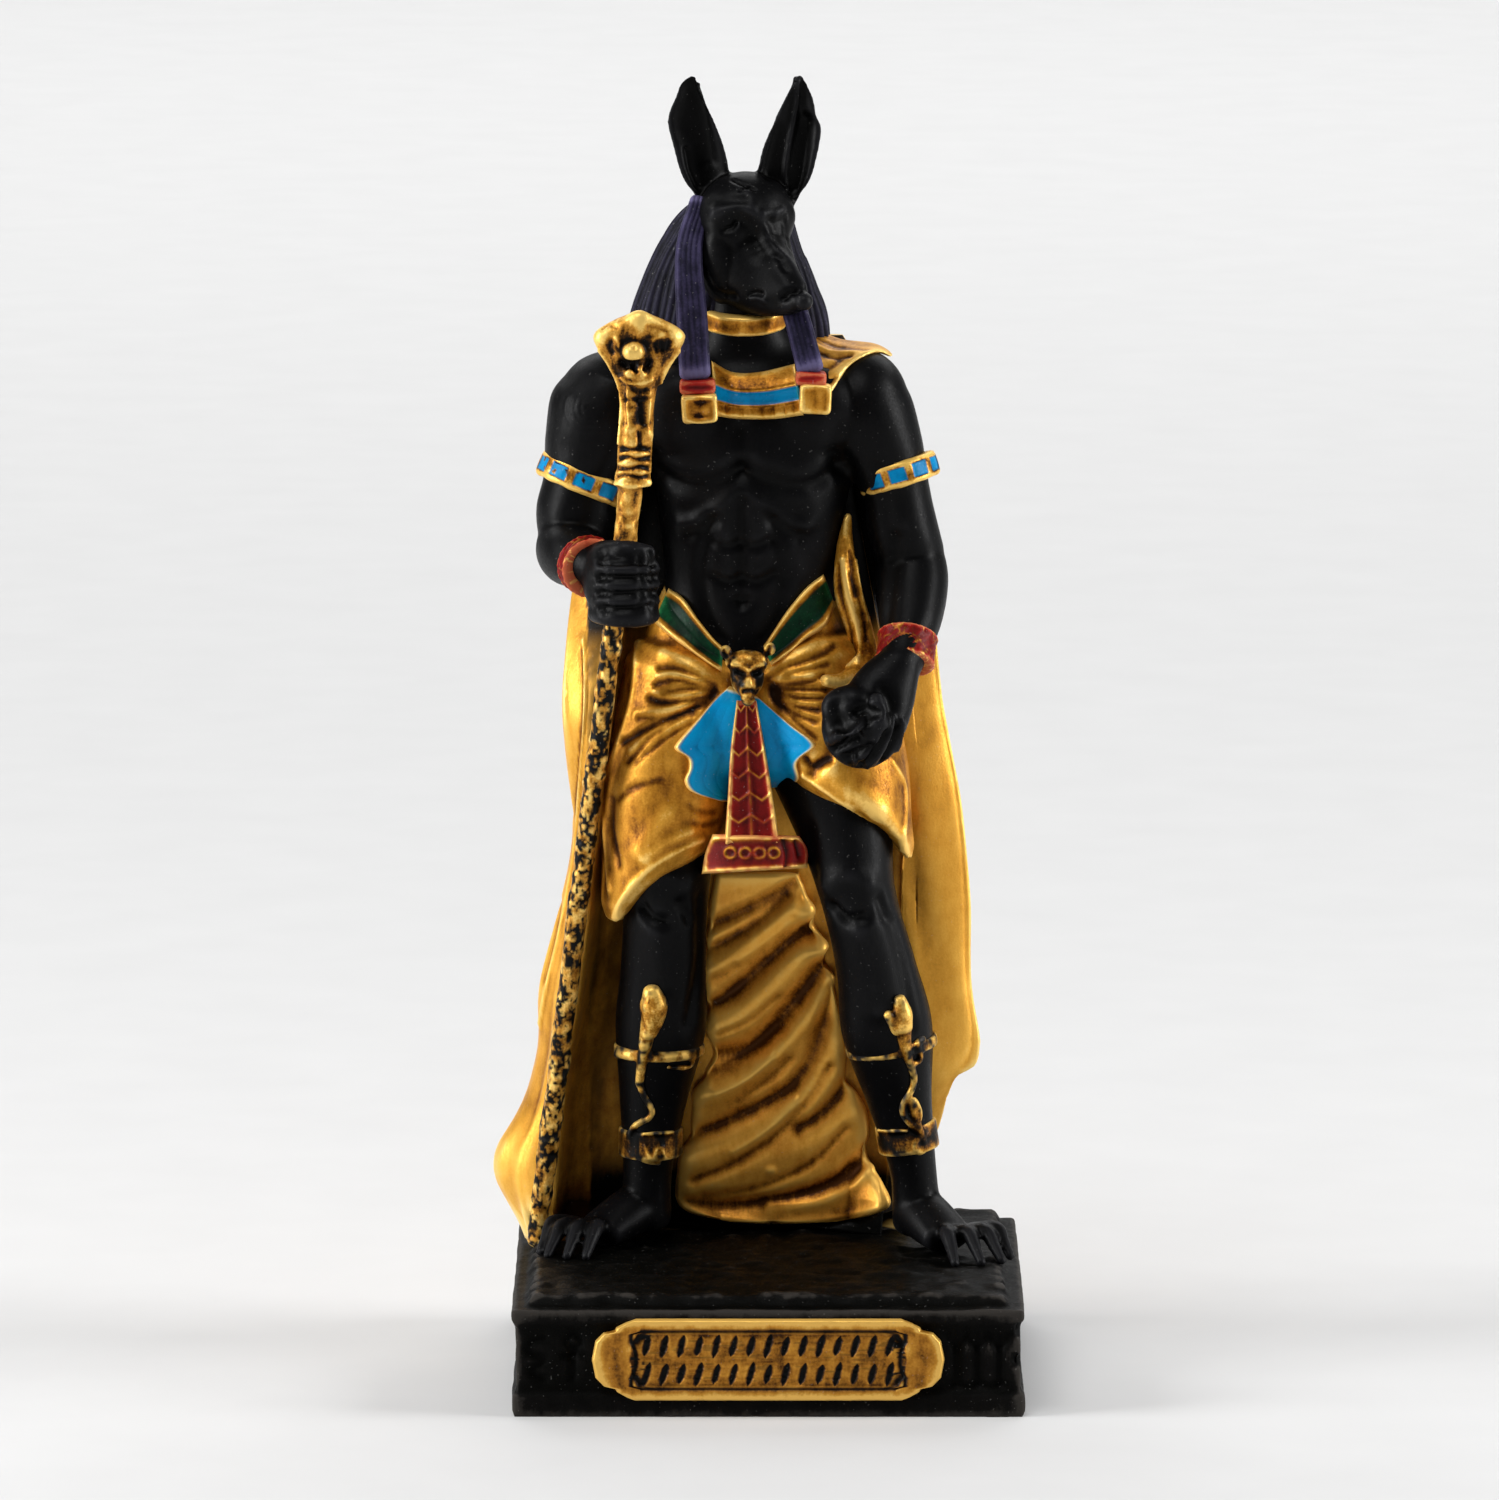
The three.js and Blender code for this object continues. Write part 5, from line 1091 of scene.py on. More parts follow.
hips = limb([
    [-1.3, 2.4, 45.0, 5.9, 4.1], [-1.4, 2.2, 42.4, 6.8, 4.7],
    [-1.5, 2.0, 38.4, 7.9, 5.3], [-1.5, 1.8, 34.6, 7.4, 4.8],
], sides=64)
waist_x, waist_z = np.array(WAISTLINE).T
in_front = np.clip((2.0 - hips[0][:, 1]) / 1.5, 0, 1)
waist = GROUND + np.interp(hips[0][:, 0], waist_x, waist_z)
near_waist = np.clip((hips[0][:, 2] - GROUND - 38.0) / 8.5, 0, 1)
hips[0][:, 2] -= in_front * near_waist * (GROUND + 46.5 - waist)
kilt = as_one([
    hips,
    down_to(RIGHT_HEM, limb([
        [-4.6, 2.0, 39.4, 5.2, 5.0], [-6.3, 1.4, 33.0, 5.1, 5.3], [-6.7, 1.0, 27.4, 4.6, 4.9],
        [-6.9, 1.0, 24.0, 4.45, 4.7],
    ], sides=64, steps=50), 38),
    down_to(LEFT_HEM, limb([
        [2.2, 2.0, 39.4, 5.2, 5.1], [4.4, 0.4, 33.4, 5.0, 4.9], [5.3, -0.3, 28.6, 4.5, 4.6],
        [5.7, -0.5, 26.6, 4.3, 4.4],
    ], sides=64, steps=50), 38),
], 0.19, 6)
KILT_STROKES = [
    # pleats gathered at the buckle
    ([(716, 684), (696, 676), (676, 668), (660, 668)], 0.22, -0.16),
    ([(718, 688), (696, 684), (674, 680), (656, 684)], 0.2, -0.14),
    ([(718, 691), (698, 690), (680, 690), (664, 694)], 0.2, -0.14),
    ([(716, 694), (700, 698), (680, 702), (660, 702), (650, 698)], 0.24, -0.18),
    ([(712, 700), (696, 708), (672, 716), (640, 718)], 0.26, -0.14),
    ([(697, 706), (676, 716), (648, 728), (624, 742)], 0.24, -0.21),
    ([(694, 714), (672, 724), (648, 740), (628, 762)], 0.22, -0.18),
    ([(690, 724), (670, 736), (652, 750), (636, 762)], 0.2, -0.11),
    ([(660, 780), (646, 784), (630, 790), (618, 800)], 0.26, -0.13),
    ([(664, 652), (684, 662), (706, 676)], 0.5, 0.13),
    ([(658, 676), (680, 674), (700, 680)], 0.24, 0.11),
    ([(654, 692), (676, 696), (702, 694)], 0.24, 0.11),
    ([(636, 714), (662, 712), (690, 704)], 0.4, 0.13),
    ([(632, 750), (656, 734), (688, 716)], 0.28, 0.11),
    ([(772, 684), (790, 684), (808, 682), (824, 676)], 0.2, -0.16),
    ([(772, 687), (790, 690), (808, 690), (826, 690)], 0.2, -0.16),
    ([(772, 690), (790, 696), (806, 698), (822, 698)], 0.2, -0.16),
    ([(772, 693), (788, 702), (804, 708), (818, 710)], 0.2, -0.16),
    ([(772, 697), (788, 709), (802, 717), (816, 722)], 0.2, -0.16),
    ([(774, 702), (790, 716), (804, 728), (816, 738)], 0.22, -0.14),
    ([(770, 678), (786, 668), (804, 662), (822, 654), (834, 646)], 0.26, -0.18),
    ([(786, 676), (808, 670), (828, 664)], 0.26, -0.16),
    ([(775, 672), (796, 656), (818, 640), (832, 620)], 0.7, 0.16),
    ([(794, 676), (812, 676), (826, 684)], 0.22, 0.11),
    ([(786, 693), (804, 694), (822, 694)], 0.16, 0.08), ([(784, 700), (802, 704), (818, 704)], 0.16, 0.08),
    # crumple beside the apron, and folds that fall to the hems
    ([(690, 806), (702, 812), (716, 812)], 0.24, -0.09), ([(694, 824), (706, 826), (718, 822)], 0.2, -0.08),
    ([(668, 812), (654, 832), (640, 852)], 0.7, 0.18), ([(690, 832), (668, 842), (646, 860)], 0.4, 0.16),
    ([(612, 800), (612, 830), (618, 864)], 0.4, -0.2),
    ([(690, 760), (670, 780), (664, 800)], 0.9, -0.14),
    ([(830, 750), (822, 762), (812, 774)], 0.5, -0.24), ([(836, 772), (850, 792), (876, 812)], 0.9, 0.16),
    ([(806, 760), (812, 766), (830, 760)], 0.3, -0.3),
    # rolled hems
    ([(614, 918), (622, 900), (638, 880), (656, 864), (680, 850), (703, 840)], 0.2, 0.14),
    ([(638, 640), (632, 700), (612, 760), (603, 790), (605, 830), (610, 890)], 0.3, 0.16),
    ([(804, 776), (822, 788), (840, 800), (870, 820), (890, 845), (902, 862)], 0.2, 0.18),
    ([(893, 762), (905, 785), (906, 820), (903, 850)], 0.24, 0.16),
]
kilt = with_tree(carved(kilt, KILT_STROKES))
finished("kilt", *kilt[:2], paint("kilt_gold", GOLD), spacing=0.19, keep=0.7)

# Belt: two straps that run down from the hips to the buckle. They are cast on the kilt as flat bands with
# raised edges, and painted green between gold.
figure = with_tree(joined([torso, kilt[:2]]))


def strap_lift(s, t):
    edges = np.exp(-((s - 0.1) / 0.09) ** 2) + np.exp(-((s - 0.9) / 0.09) ** 2)
    return (0.34 + 0.16 * edges) * soft_edge(s, 0.08) * soft_edge(t, 0.04)


STRAP_EDGES = [
    ([(669, 588), (684, 598), (698, 618), (712, 636), (724, 648)],
     [(654, 622), (670, 636), (692, 652), (712, 666), (722, 672)]),
    ([(824, 574), (806, 588), (788, 610), (772, 634), (764, 646)],
     [(836, 606), (826, 626), (806, 640), (786, 656), (772, 666)]),
]
straps = [laid(upper, lower, figure, 90, 50, strap_lift) for upper, lower in STRAP_EDGES]
belt_s = np.concatenate([strap[2] for strap in straps])
green_share = np.clip((np.minimum(belt_s, 1 - belt_s) - 0.19) / 0.04, 0, 1)
GREEN = {
    "stops": [(0.1, (50, 122, 74)), (0.36, (14, 74, 40)), (0.6, (6, 46, 26)), (0.9, (2, 18, 12))],
    "metallic": 0.0, "roughness": 0.36, "patchy": 0.14, "dust": 0.12,
}
finished("belt", *joined(straps), paint("belt_paint", GOLD, GREEN),
         trim=green_share, spacing=0.14, keep=0.6)

# Fan: a spread of feathers under the buckle, behind the apron. It is cast on the kilt as a broad shape with
# fine rays, and painted turquoise with thin gold edges.


def fan_lift(s, t):
    quill = np.abs(np.sin((s - 0.5) * np.pi * 9)) ** 0.5
    return (0.5 + 0.08 * quill * t) * soft_edge(s, 0.03) * soft_edge(t, 0.03)


FAN_LEFT = [(730, 686), (714, 700), (696, 721), (677, 743), (676, 750), (687, 758), (689, 768), (685, 782),
            (694, 793), (724, 802)]
FAN_RIGHT = [(757, 696), (774, 710), (795, 727), (812, 739), (816, 747), (803, 757), (798, 765), (800, 778),
             (792, 788), (774, 802)]
fan = laid(FAN_LEFT, FAN_RIGHT, kilt, 120, 150, fan_lift, ease=14)
fan_edge = np.minimum(np.minimum(fan[2], 1 - fan[2]) / 0.03, np.minimum(fan[3], 1 - fan[3]) / 0.03)
finished("fan", *fan[:2], paint("fan_blue", BLUE, GOLD),
         trim=np.clip(1.6 - fan_edge, 0, 1), spacing=0.16, keep=0.45)

# Apron: a narrow tongue of red tiles edged in gold, and a broad hem band with four rings on it.
# Both hang over the fan and are cast with it.
TILE_ROWS = 6.5
RING_MARKS = [(731, 853), (746, 853), (760, 853), (774, 853)]


def from_tile_edge(s, t):
    # How far a place on the apron is from the edge of its pointed tile, in rows of tiles
    return np.abs((t * TILE_ROWS + 0.35 * np.abs(2 * ((2 * s) % 1) - 1)) % 1 - 0.5)


def apron_lift(s, t):
    scale = from_tile_edge(s, t)
    lines = np.exp(-(scale / 0.09) ** 2) + np.exp(-((s - 0.5) / 0.05) ** 2)
    edges = np.exp(-(s / 0.08) ** 2) + np.exp(-((1 - s) / 0.08) ** 2)
    return (0.5 + 0.1 * lines + 0.16 * edges) * soft_edge(s, 0.06) * soft_edge(t, 0.02) + 0.1


def apron_gold(s, t):
    scale = from_tile_edge(s, t)
    lines = np.exp(-(scale / 0.06) ** 2) + 0.6 * np.exp(-((s - 0.5) / 0.03) ** 2)
    edges = np.exp(-(s / 0.09) ** 4) + np.exp(-((1 - s) / 0.09) ** 4)
    return np.clip(0.8 * lines + edges, 0, 1)


def standing(marks):
    # The apron hangs free of the legs, below the fan
    return placed(marks, -3.3 - 0.5 * np.clip((marks[..., 1] - 700) / 140, 0, 1))


def bowed(marks):
    # The hem band stands in front of the apron and bends back at its sides
    return placed(marks, -4.4 + 0.0006 * (marks[..., 0] - 755) ** 2)


def hem_band_lift(s, t):
    edges = np.exp(-((t - 0.12) / 0.07) ** 2) + np.exp(-((t - 0.94) / 0.06) ** 2)
    return (0.35 + 0.12 * edges) * soft_edge(s, 0.03) * soft_edge(t, 0.08)


APRON_LEFT = [(737, 700), (731, 750), (728, 800), (725, 845)]
APRON_RIGHT = [(757, 700), (766, 750), (774, 800), (780, 845)]
HEM_BAND_LEFT = [(713, 834), (706, 852), (702, 874)]
HEM_BAND_RIGHT = [(800, 836), (808, 850), (808, 868)]
HEM_BAND_CREASES = [([(784, 840), (788, 856), (786, 872)], 0.2, -0.2), ([(796, 842), (800, 856)], 0.2, -0.15)]
apron = laid(APRON_LEFT, APRON_RIGHT, standing, 170, 60, apron_lift, root=2.4, ease=0)
hem_band = laid(HEM_BAND_LEFT, HEM_BAND_RIGHT, bowed, 50, 150, hem_band_lift, root=1.4, ease=0)
turn = np.linspace(0, 2 * math.pi, 13)
hem_strokes = [
    ([(u + 5.5 * math.cos(a), v - 5 * math.sin(a)) for a in turn], 0.13, 0.14)
    for u, v in RING_MARKS
]
hem_strokes += HEM_BAND_CREASES
hem_band = (*carved(hem_band[:2], hem_strokes), *hem_band[2:])
rings_gold = np.zeros(len(hem_band[0]))
for middle in placed(RING_MARKS, -4.7):
    away = np.hypot(hem_band[0][:, 0] - middle[0], hem_band[0][:, 2] - middle[2])
    rings_gold = np.maximum(rings_gold, np.exp(-((away - 0.36) / 0.11) ** 2))
band_edges = np.exp(-((hem_band[3] - 0.12) / 0.09) ** 2) + np.exp(-((hem_band[3] - 0.95) / 0.08) ** 2)
band_edges += np.exp(-(hem_band[2] / 0.05) ** 4)
apron_points, apron_faces = joined([apron, hem_band])
apron_trim = np.concatenate([apron_gold(apron[2], apron[3]), np.clip(rings_gold + band_edges, 0, 1)])
apron_trim *= np.clip(0.75 + 1.1 * rough(apron_points, 0.45, 81), 0.1, 1)
finished("apron", apron_points, apron_faces, paint("apron_paint", RED, GOLD),
         trim=apron_trim, spacing=0.14, keep=0.7)

# Buckle: a small lion head over the meeting of the belt's straps. It is cast with them, painted black and
# dry-brushed with dark gold.
buckle = as_one([
    egg(-1.4, -3.7, 41.3, 1.5, 0.8, 0.85),
    egg(-1.4, -3.8, 40.4, 1.15, 0.8, 1.5),
    egg(-1.38, -4.4, 39.7, 0.62, 0.55, 0.85),
    egg(-1.38, -4.1, 38.9, 0.45, 0.45, 0.55),
    egg(-2.85, -3.6, 42.0, 0.42, 0.4, 0.46),
    egg(0.1, -3.6, 42.2, 0.42, 0.4, 0.46),
], 0.09, 5)
BUCKLE_STROKES = [
    ([(737, 672), (743, 674)], 0.16, -0.3), ([(754, 674), (761, 672)], 0.16, -0.3),
    ([(732, 664), (742, 666), (749, 670), (757, 666), (766, 664)], 0.14, 0.14),
    ([(749, 672), (750, 688)], 0.2, 0.12), ([(743, 692), (750, 690), (757, 692)], 0.14, -0.22),
    ([(743, 698), (750, 701), (757, 698)], 0.14, 0.12),
    ([(730, 660), (728, 680), (736, 698)], 0.14, -0.2), ([(768, 658), (770, 680), (764, 698)], 0.14, -0.2),
    ([(724, 650), (727, 656)], 0.14, -0.2), ([(770, 646), (768, 654)], 0.14, -0.2),
]
buckle = carved(buckle, BUCKLE_STROKES)
washed = np.clip(0.58 + 1.2 * rough(buckle[0], 0.6, 71) + 0.5 * rough(buckle[0], 0.25, 72), 0, 1)
finished("buckle", *buckle, paint("buckle_gold", STREAKED_GOLD, BLACK_GROUND), trim=washed, spacing=0.09)

# Cloak: it hangs from the shoulders down the back to the ground, edged at the staff. It is cast with the
# figure in long folds and painted smooth gold.
BACK_FOLDS, BACK_FOLD_DEPTH, STEP_HEIGHT = 10, 0.5, 11.7
# Columns: height, on the viewer's left the front edge and the side, the back, on the right the side and the
# front edge, and the curtain behind the legs.
CLOAK = np.array([
    [-0.3, -15.0, -16.3, 12.6, 8.6, 7.8, 7.6],
    [2.0, -15.0, -17.6, 12.9, 9.4, 8.0, 7.2],
    [5.0, -14.8, -19.0, 12.9, 10.4, 8.4, 6.9],
    [7.0, -14.5, -17.8, 12.6, 11.2, 8.5, 6.7],
    [9.2, -14.2, -16.4, 12.4, 11.7, 8.7, 6.5],
    [11.4, -14.0, -15.9, 12.2, 12.0, 8.8, 6.3],
    [12.0, -13.9, -15.7, 12.1, 14.2, 8.9, 6.2],
    [14.0, -13.6, -15.3, 11.8, 14.1, 9.0, 6.0],
    [17.0, -13.1, -15.5, 11.4, 13.4, 9.2, 5.7],
    [19.5, -12.8, -14.9, 11.0, 13.3, 9.3, 5.4],
    [23.0, -12.3, -13.9, 10.6, 13.4, 9.4, 5.0],
    [27.0, -11.9, -12.9, 10.1, 13.1, 9.4, 4.4],
    [30.0, -11.5, -12.7, 9.8, 12.8, 9.4, 4.0],
    [34.0, -11.3, -13.3, 9.4, 12.0, 9.0, 3.6],
    [38.0, -11.0, -13.7, 9.0, 11.3, 8.6, 3.2],
    [45.0, -10.6, -13.0, 8.4, 10.8, 7.4, 3.0],
    [53.0, -9.6, -11.8, 7.8, 8.9, 6.0, 3.0],
    [59.0, -8.6, -10.2, 7.0, 7.4, 5.4, 3.0],
    [62.4, -5.2, -6.6, 5.8, 5.0, 3.6, 3.0],
])
CLOAK_TOP = CLOAK[-1, 0]
STAFF_FOOT, STAFF_GRIP, STAFF_HEAD = [-15.8, 3.6, 0], [-9.9, -5.4, 48.0], [-9.0, -6.3, 59.0]


def cloak_at(height):
    # Its sizes at a height, as means of a short way up and down; the right side has a step that stays sharp
    near_top = 0.3 + CLOAK_TOP - height
    reach = np.full(7, min(1.6, near_top))
    reach[4] = min(1.6, near_top, 0.3 + 0.8 * abs(height - STEP_HEIGHT))
    ways = [height + far * np.linspace(-1, 1, 9) for far in reach]
    return [np.interp(way, CLOAK[:, 0], column).mean() for way, column in zip(ways, CLOAK.T)]


def closed_smooth(points, count):
    # Even shares of a closed smooth line through points
    s = np.asarray(points, float)
    n = len(s)
    p = np.arange(count) / count * n
    i = p.astype(int)
    return spline(s[(i - 1) % n], s[i % n], s[(i + 1) % n], s[(i + 2) % n], (p - i)[:, None])


def cloak_ring(height, count):
    # The cloak's outline at a height: out round the back, and in again along the curtain
    _, left_front, left, back, right, right_front, curtain = cloak_at(height)
    middle = (left + right) / 2
    share = np.clip((height - 36) / 11, 0, 1)
    share = share * share * (3 - 2 * share)
    staff = np.array([STAFF_FOOT, STAFF_GRIP, STAFF_HEAD])
    staff_y = np.interp(max(height, 0), staff[:, 2], staff[:, 1])
    edge = (1 - share) * min(staff_y + 1.0, 2.8) + share * 1.6
    drawn_back = np.clip((height - 5) / 7, 0, 1)
    right_edge = 6.0 - 2.6 * drawn_back * drawn_back * (3 - 2 * drawn_back)
    plan = closed_smooth([
        (left_front, edge), (left, edge + 2.6), (left + 0.3 * (middle - left), back * 0.88), (middle, back),
        (right + 0.3 * (middle - right), back * 0.88), (right, max(4.6, right_edge + 1.2)),
        (right_front, right_edge),
        (right_front - 1.2, curtain), (middle, curtain), (left_front + 2.2, curtain),
    ], count)
    turn = np.arange(count) / count
    outward = plan + (1.5, -3)
    outward /= np.linalg.norm(outward, axis=1, keepdims=True)
    below_top = min(1, (CLOAK_TOP - height) / 20)
    depth = BACK_FOLD_DEPTH * np.minimum(1, turn * 8) * below_top * (turn < 0.6)
    wave = np.sin(BACK_FOLDS * np.pi * 2 * turn + 0.06 * height)
    small = 0.05 * np.sin(26 * np.pi * 2 * turn - 0.1 * height + 2 * np.sin(0.09 * height)) * (turn < 0.62)
    plan = plan + outward * (depth * wave + small * below_top)[:, None]
    return np.column_stack([plan, np.full(count, GROUND + height)])


cloak_heights = np.linspace(CLOAK[0, 0], CLOAK_TOP, 220)
cloak = lofted(np.array([cloak_ring(height, 330) for height in cloak_heights]))
CLOAK_STROKES = [
    ([(585, 640), (587, 700), (582, 770), (576, 850), (562, 930), (549, 985), (541, 1024)], 0.3, 0.22),
    ([(581, 650), (581, 700), (577, 770), (569, 850), (556, 925), (543, 980)], 0.3, -0.2),
    ([(904, 800), (909, 850), (918, 905), (934, 960), (950, 1010), (957, 1050)], 0.5, -0.34),
    ([(926, 760), (934, 850), (946, 950), (962, 1040)], 0.8, 0.22),
    ([(938, 700), (946, 760), (953, 850), (958, 950)], 0.5, -0.12),
]
cloak = carved(cloak, CLOAK_STROKES)
inner_side = np.clip(-3 * normals_of(*cloak)[:, 1] - 1.2, 0, 1) * (cloak[0][:, 1] < 9.5)
calm = eased(*cloak, 30)
cloak = cloak[0] + (calm - cloak[0]) * inner_side[:, None], cloak[1]
CLOAK_GOLD = GOLD | {
    "stops": [(0.06, (250, 212, 124)), (0.34, (230, 174, 74)), (0.52, (208, 148, 52)), (0.74, (130, 80, 22)),
              (0.95, (44, 22, 6))],
    "patchy": 0.05, "metallic": 0.35,
}
# Painted shade: black on the cloak's inner walls at the top, in a strip along the ground, and in mottles
# behind the staff, where shade falls
cloak_x, cloak_y, cloak_height = cloak[0][:, 0], cloak[0][:, 1], cloak[0][:, 2] - GROUND
inside = np.clip(-2.5 * normals_of(*cloak)[:, 1] - 0.3, 0, 1) * (cloak_y < 9.5)
inside *= (cloak_x > -12.2) & (cloak_x < 9.4)
low, high = np.clip((6.5 - cloak_height) / 2.5, 0, 1), np.clip((cloak_height - 40) / 3, 0, 1)
near_front = (cloak_y < np.where(cloak_x > 8, 6.4, 9.5)) & (cloak_x > -11.6)
mottled = np.clip(0.55 + 0.6 * rough(cloak[0] * (1, 1, 0.3), 0.9, 41) + 0.4 * rough(cloak[0], 0.4, 42), 0, 1)
shade_inside_cloak = np.maximum(inside * np.maximum(high, low), near_front * low)
shade_inside_cloak = np.maximum(shade_inside_cloak, 0.7 * inside * mottled * (cloak_x < -6))
# The black trim on the cloak is painted shade
finished("cloak", *cloak, paint("cloak_gold", CLOAK_GOLD, BLACK_GROUND),
         trim=shade_inside_cloak, spacing=0.25, keep=0.6)

# Shoulder drapes: the cloak's cloth where it comes over each shoulder, creased towards the neck. They are
# cast with it and painted the same gold, with a browner wash.
DRAPE_TOP = [(800, 318), (812, 325), (826, 333), (842, 339), (858, 341), (874, 343), (886, 348), (895, 356)]
DRAPE_BOTTOM = [(812, 396), (826, 396), (833, 391), (840, 380),
                (850, 366), (864, 357), (878, 353), (890, 357)]
share = np.linspace(0, 1, 70)
drape_marks = marks_between(DRAPE_TOP, DRAPE_BOTTOM, 90, share)
low_depth = np.minimum(seen_on(skin, drawn(DRAPE_BOTTOM, 90))[:, 1], 3.0) - 0.2
low_depth = np.convolve(np.pad(low_depth, 8, mode="edge"), np.ones(17) / 17, "valid")
drape_depth = 3.4 + (low_depth - 3.4)[:, None] * share ** 1.3 - 1.2 * np.sin(np.pi * share)
along = np.linspace(0, 1, 90)[:, None]
pleats = 0.06 * np.cos(2 * np.pi * (3.2 * share + 1.4 * along)) * np.sin(np.pi * share)
drape_front = placed(drape_marks, drape_depth - pleats - 0.2)
shoulder_cloth = closed_sheet(drape_front, placed(drape_marks, drape_depth + 1.6))
DRAPE_GOLD = GOLD | {
    "stops": [(0.1, (250, 210, 122)), (0.42, (228, 172, 76)), (0.64, (200, 142, 54)), (0.84, (132, 84, 26)),
              (0.98, (58, 32, 10))],
    "patchy": 0.1,
}
drapes = as_one([
    shoulder_cloth,
    limb([[-3.6, 2.8, 63.6, 1.6, 1.6], [-7.0, 2.6, 62.4, 1.7, 1.5], [-10.0, 3.6, 60.4, 1.5, 1.4],
          [-10.2, 4.4, 57.8, 0.7, 0.7]]),
], 0.15, 12)
DRAPE_STROKES = [
    ([(812, 334), (836, 346), (866, 349)], 0.25, -0.1), ([(815, 350), (832, 357), (850, 356)], 0.25, -0.14),
    ([(816, 368), (828, 368), (840, 360)], 0.25, -0.14), ([(812, 342), (830, 351), (856, 352)], 0.25, 0.1),
    ([(818, 380), (829, 382), (836, 376)], 0.2, -0.16),
    ([(636, 314), (660, 322), (676, 340)], 0.25, -0.2),
]
drapes = carved(drapes, DRAPE_STROKES)
finished("shoulder_drapes", *drapes, paint("drape_gold", DRAPE_GOLD), spacing=0.15)

# Sash: a twisted strip of cloth that comes down inside the hanging arm to the belt. It is cast with the
# torso, grooved lengthways and painted a mottled gold.
sash = as_one([
    limb([[5.4, 0.9, 50.6, 0.25, 0.3], [5.2, 0.6, 48.4, 0.6, 0.6], [5.4, 0.2, 45.6, 0.95, 0.8],
          [6.2, 0.0, 42.8, 0.9, 0.8], [6.5, -0.6, 40.9, 0.85, 0.8], [5.2, -2.6, 39.9, 0.6, 0.7],
          [3.8, -3.4, 40.0, 0.4, 0.5]]),
], 0.13, 3)
SASH_STROKES = [
    ([(843, 560), (848, 592), (856, 620), (861, 645), (858, 662)], 0.2, 0.2),
    ([(838, 566), (841, 596), (848, 624), (852, 646)], 0.2, -0.16),
    ([(851, 552), (856, 584), (864, 612), (867, 640)], 0.2, -0.16),
    ([(845, 540), (849, 566), (856, 596)], 0.14, -0.12), ([(856, 560), (861, 590), (868, 620)], 0.14, 0.12),
    ([(846, 520), (846, 545), (850, 570)], 0.14, 0.12), ([(856, 660), (842, 670), (824, 670)], 0.2, 0.16),
    ([(850, 655), (838, 664), (826, 664)], 0.18, -0.25),
]
sash = carved(sash, SASH_STROKES)
finished("sash", *sash, paint("sash_gold", GOLD | {"patchy": 0.2}), spacing=0.13)

# Curtain: the cloak's inner side as it falls behind the legs, with deep folds that sweep up to the right. It
# is cast with the cloak and painted a warmer gold, with brown wash and painted shade in the folds; its gold
# is also lighter than the cloak's, as painted light against the shade the legs cast on it.
CURTAIN_LEFT = [(716, 872), (710, 905), (706, 940), (702, 975), (704, 1000), (709, 1030), (710, 1052),
                (702, 1075), (694, 1105), (688, 1136), (682, 1160), (676, 1185), (677, 1203), (690, 1214),
                (730, 1222)]
CURTAIN_RIGHT = [(800, 872), (812, 905), (824, 940), (834, 975), (840, 1010), (844, 1045), (846, 1076),
                 (858, 1095), (868, 1120), (870, 1145), (872, 1163), (884, 1184), (891, 1203), (876, 1214),
                 (836, 1222)]
# A warmer gold than the cloak's, and lighter: the extra lightness is painted light that lifts the shade cast
# by the legs and kilt
CURTAIN_GOLD_WITH_PAINTED_LIGHT = CLOAK_GOLD | {
    "stops": [(0.06, (255, 198, 94)), (0.36, (250, 182, 74)), (0.58, (230, 156, 56)), (0.8, (158, 98, 28)),
              (0.98, (74, 40, 10))],
    "patchy": 0.1,
}


def hung(marks):
    # The curtain hangs just before the cloak, and comes forward at its lower right corner
    depth = np.full(marks.shape[:-1], 5.0)
    for _ in range(3):
        height = placed(marks, depth)[..., 2] - GROUND
        depth = np.interp(height, CLOAK[:, 0], CLOAK[:, 6]) - 0.7
        depth -= 1.8 * np.clip((marks[..., 0] - 850) / 30, 0, 1) * np.clip((5.5 - height) / 3, 0, 1)
    return placed(marks, depth)


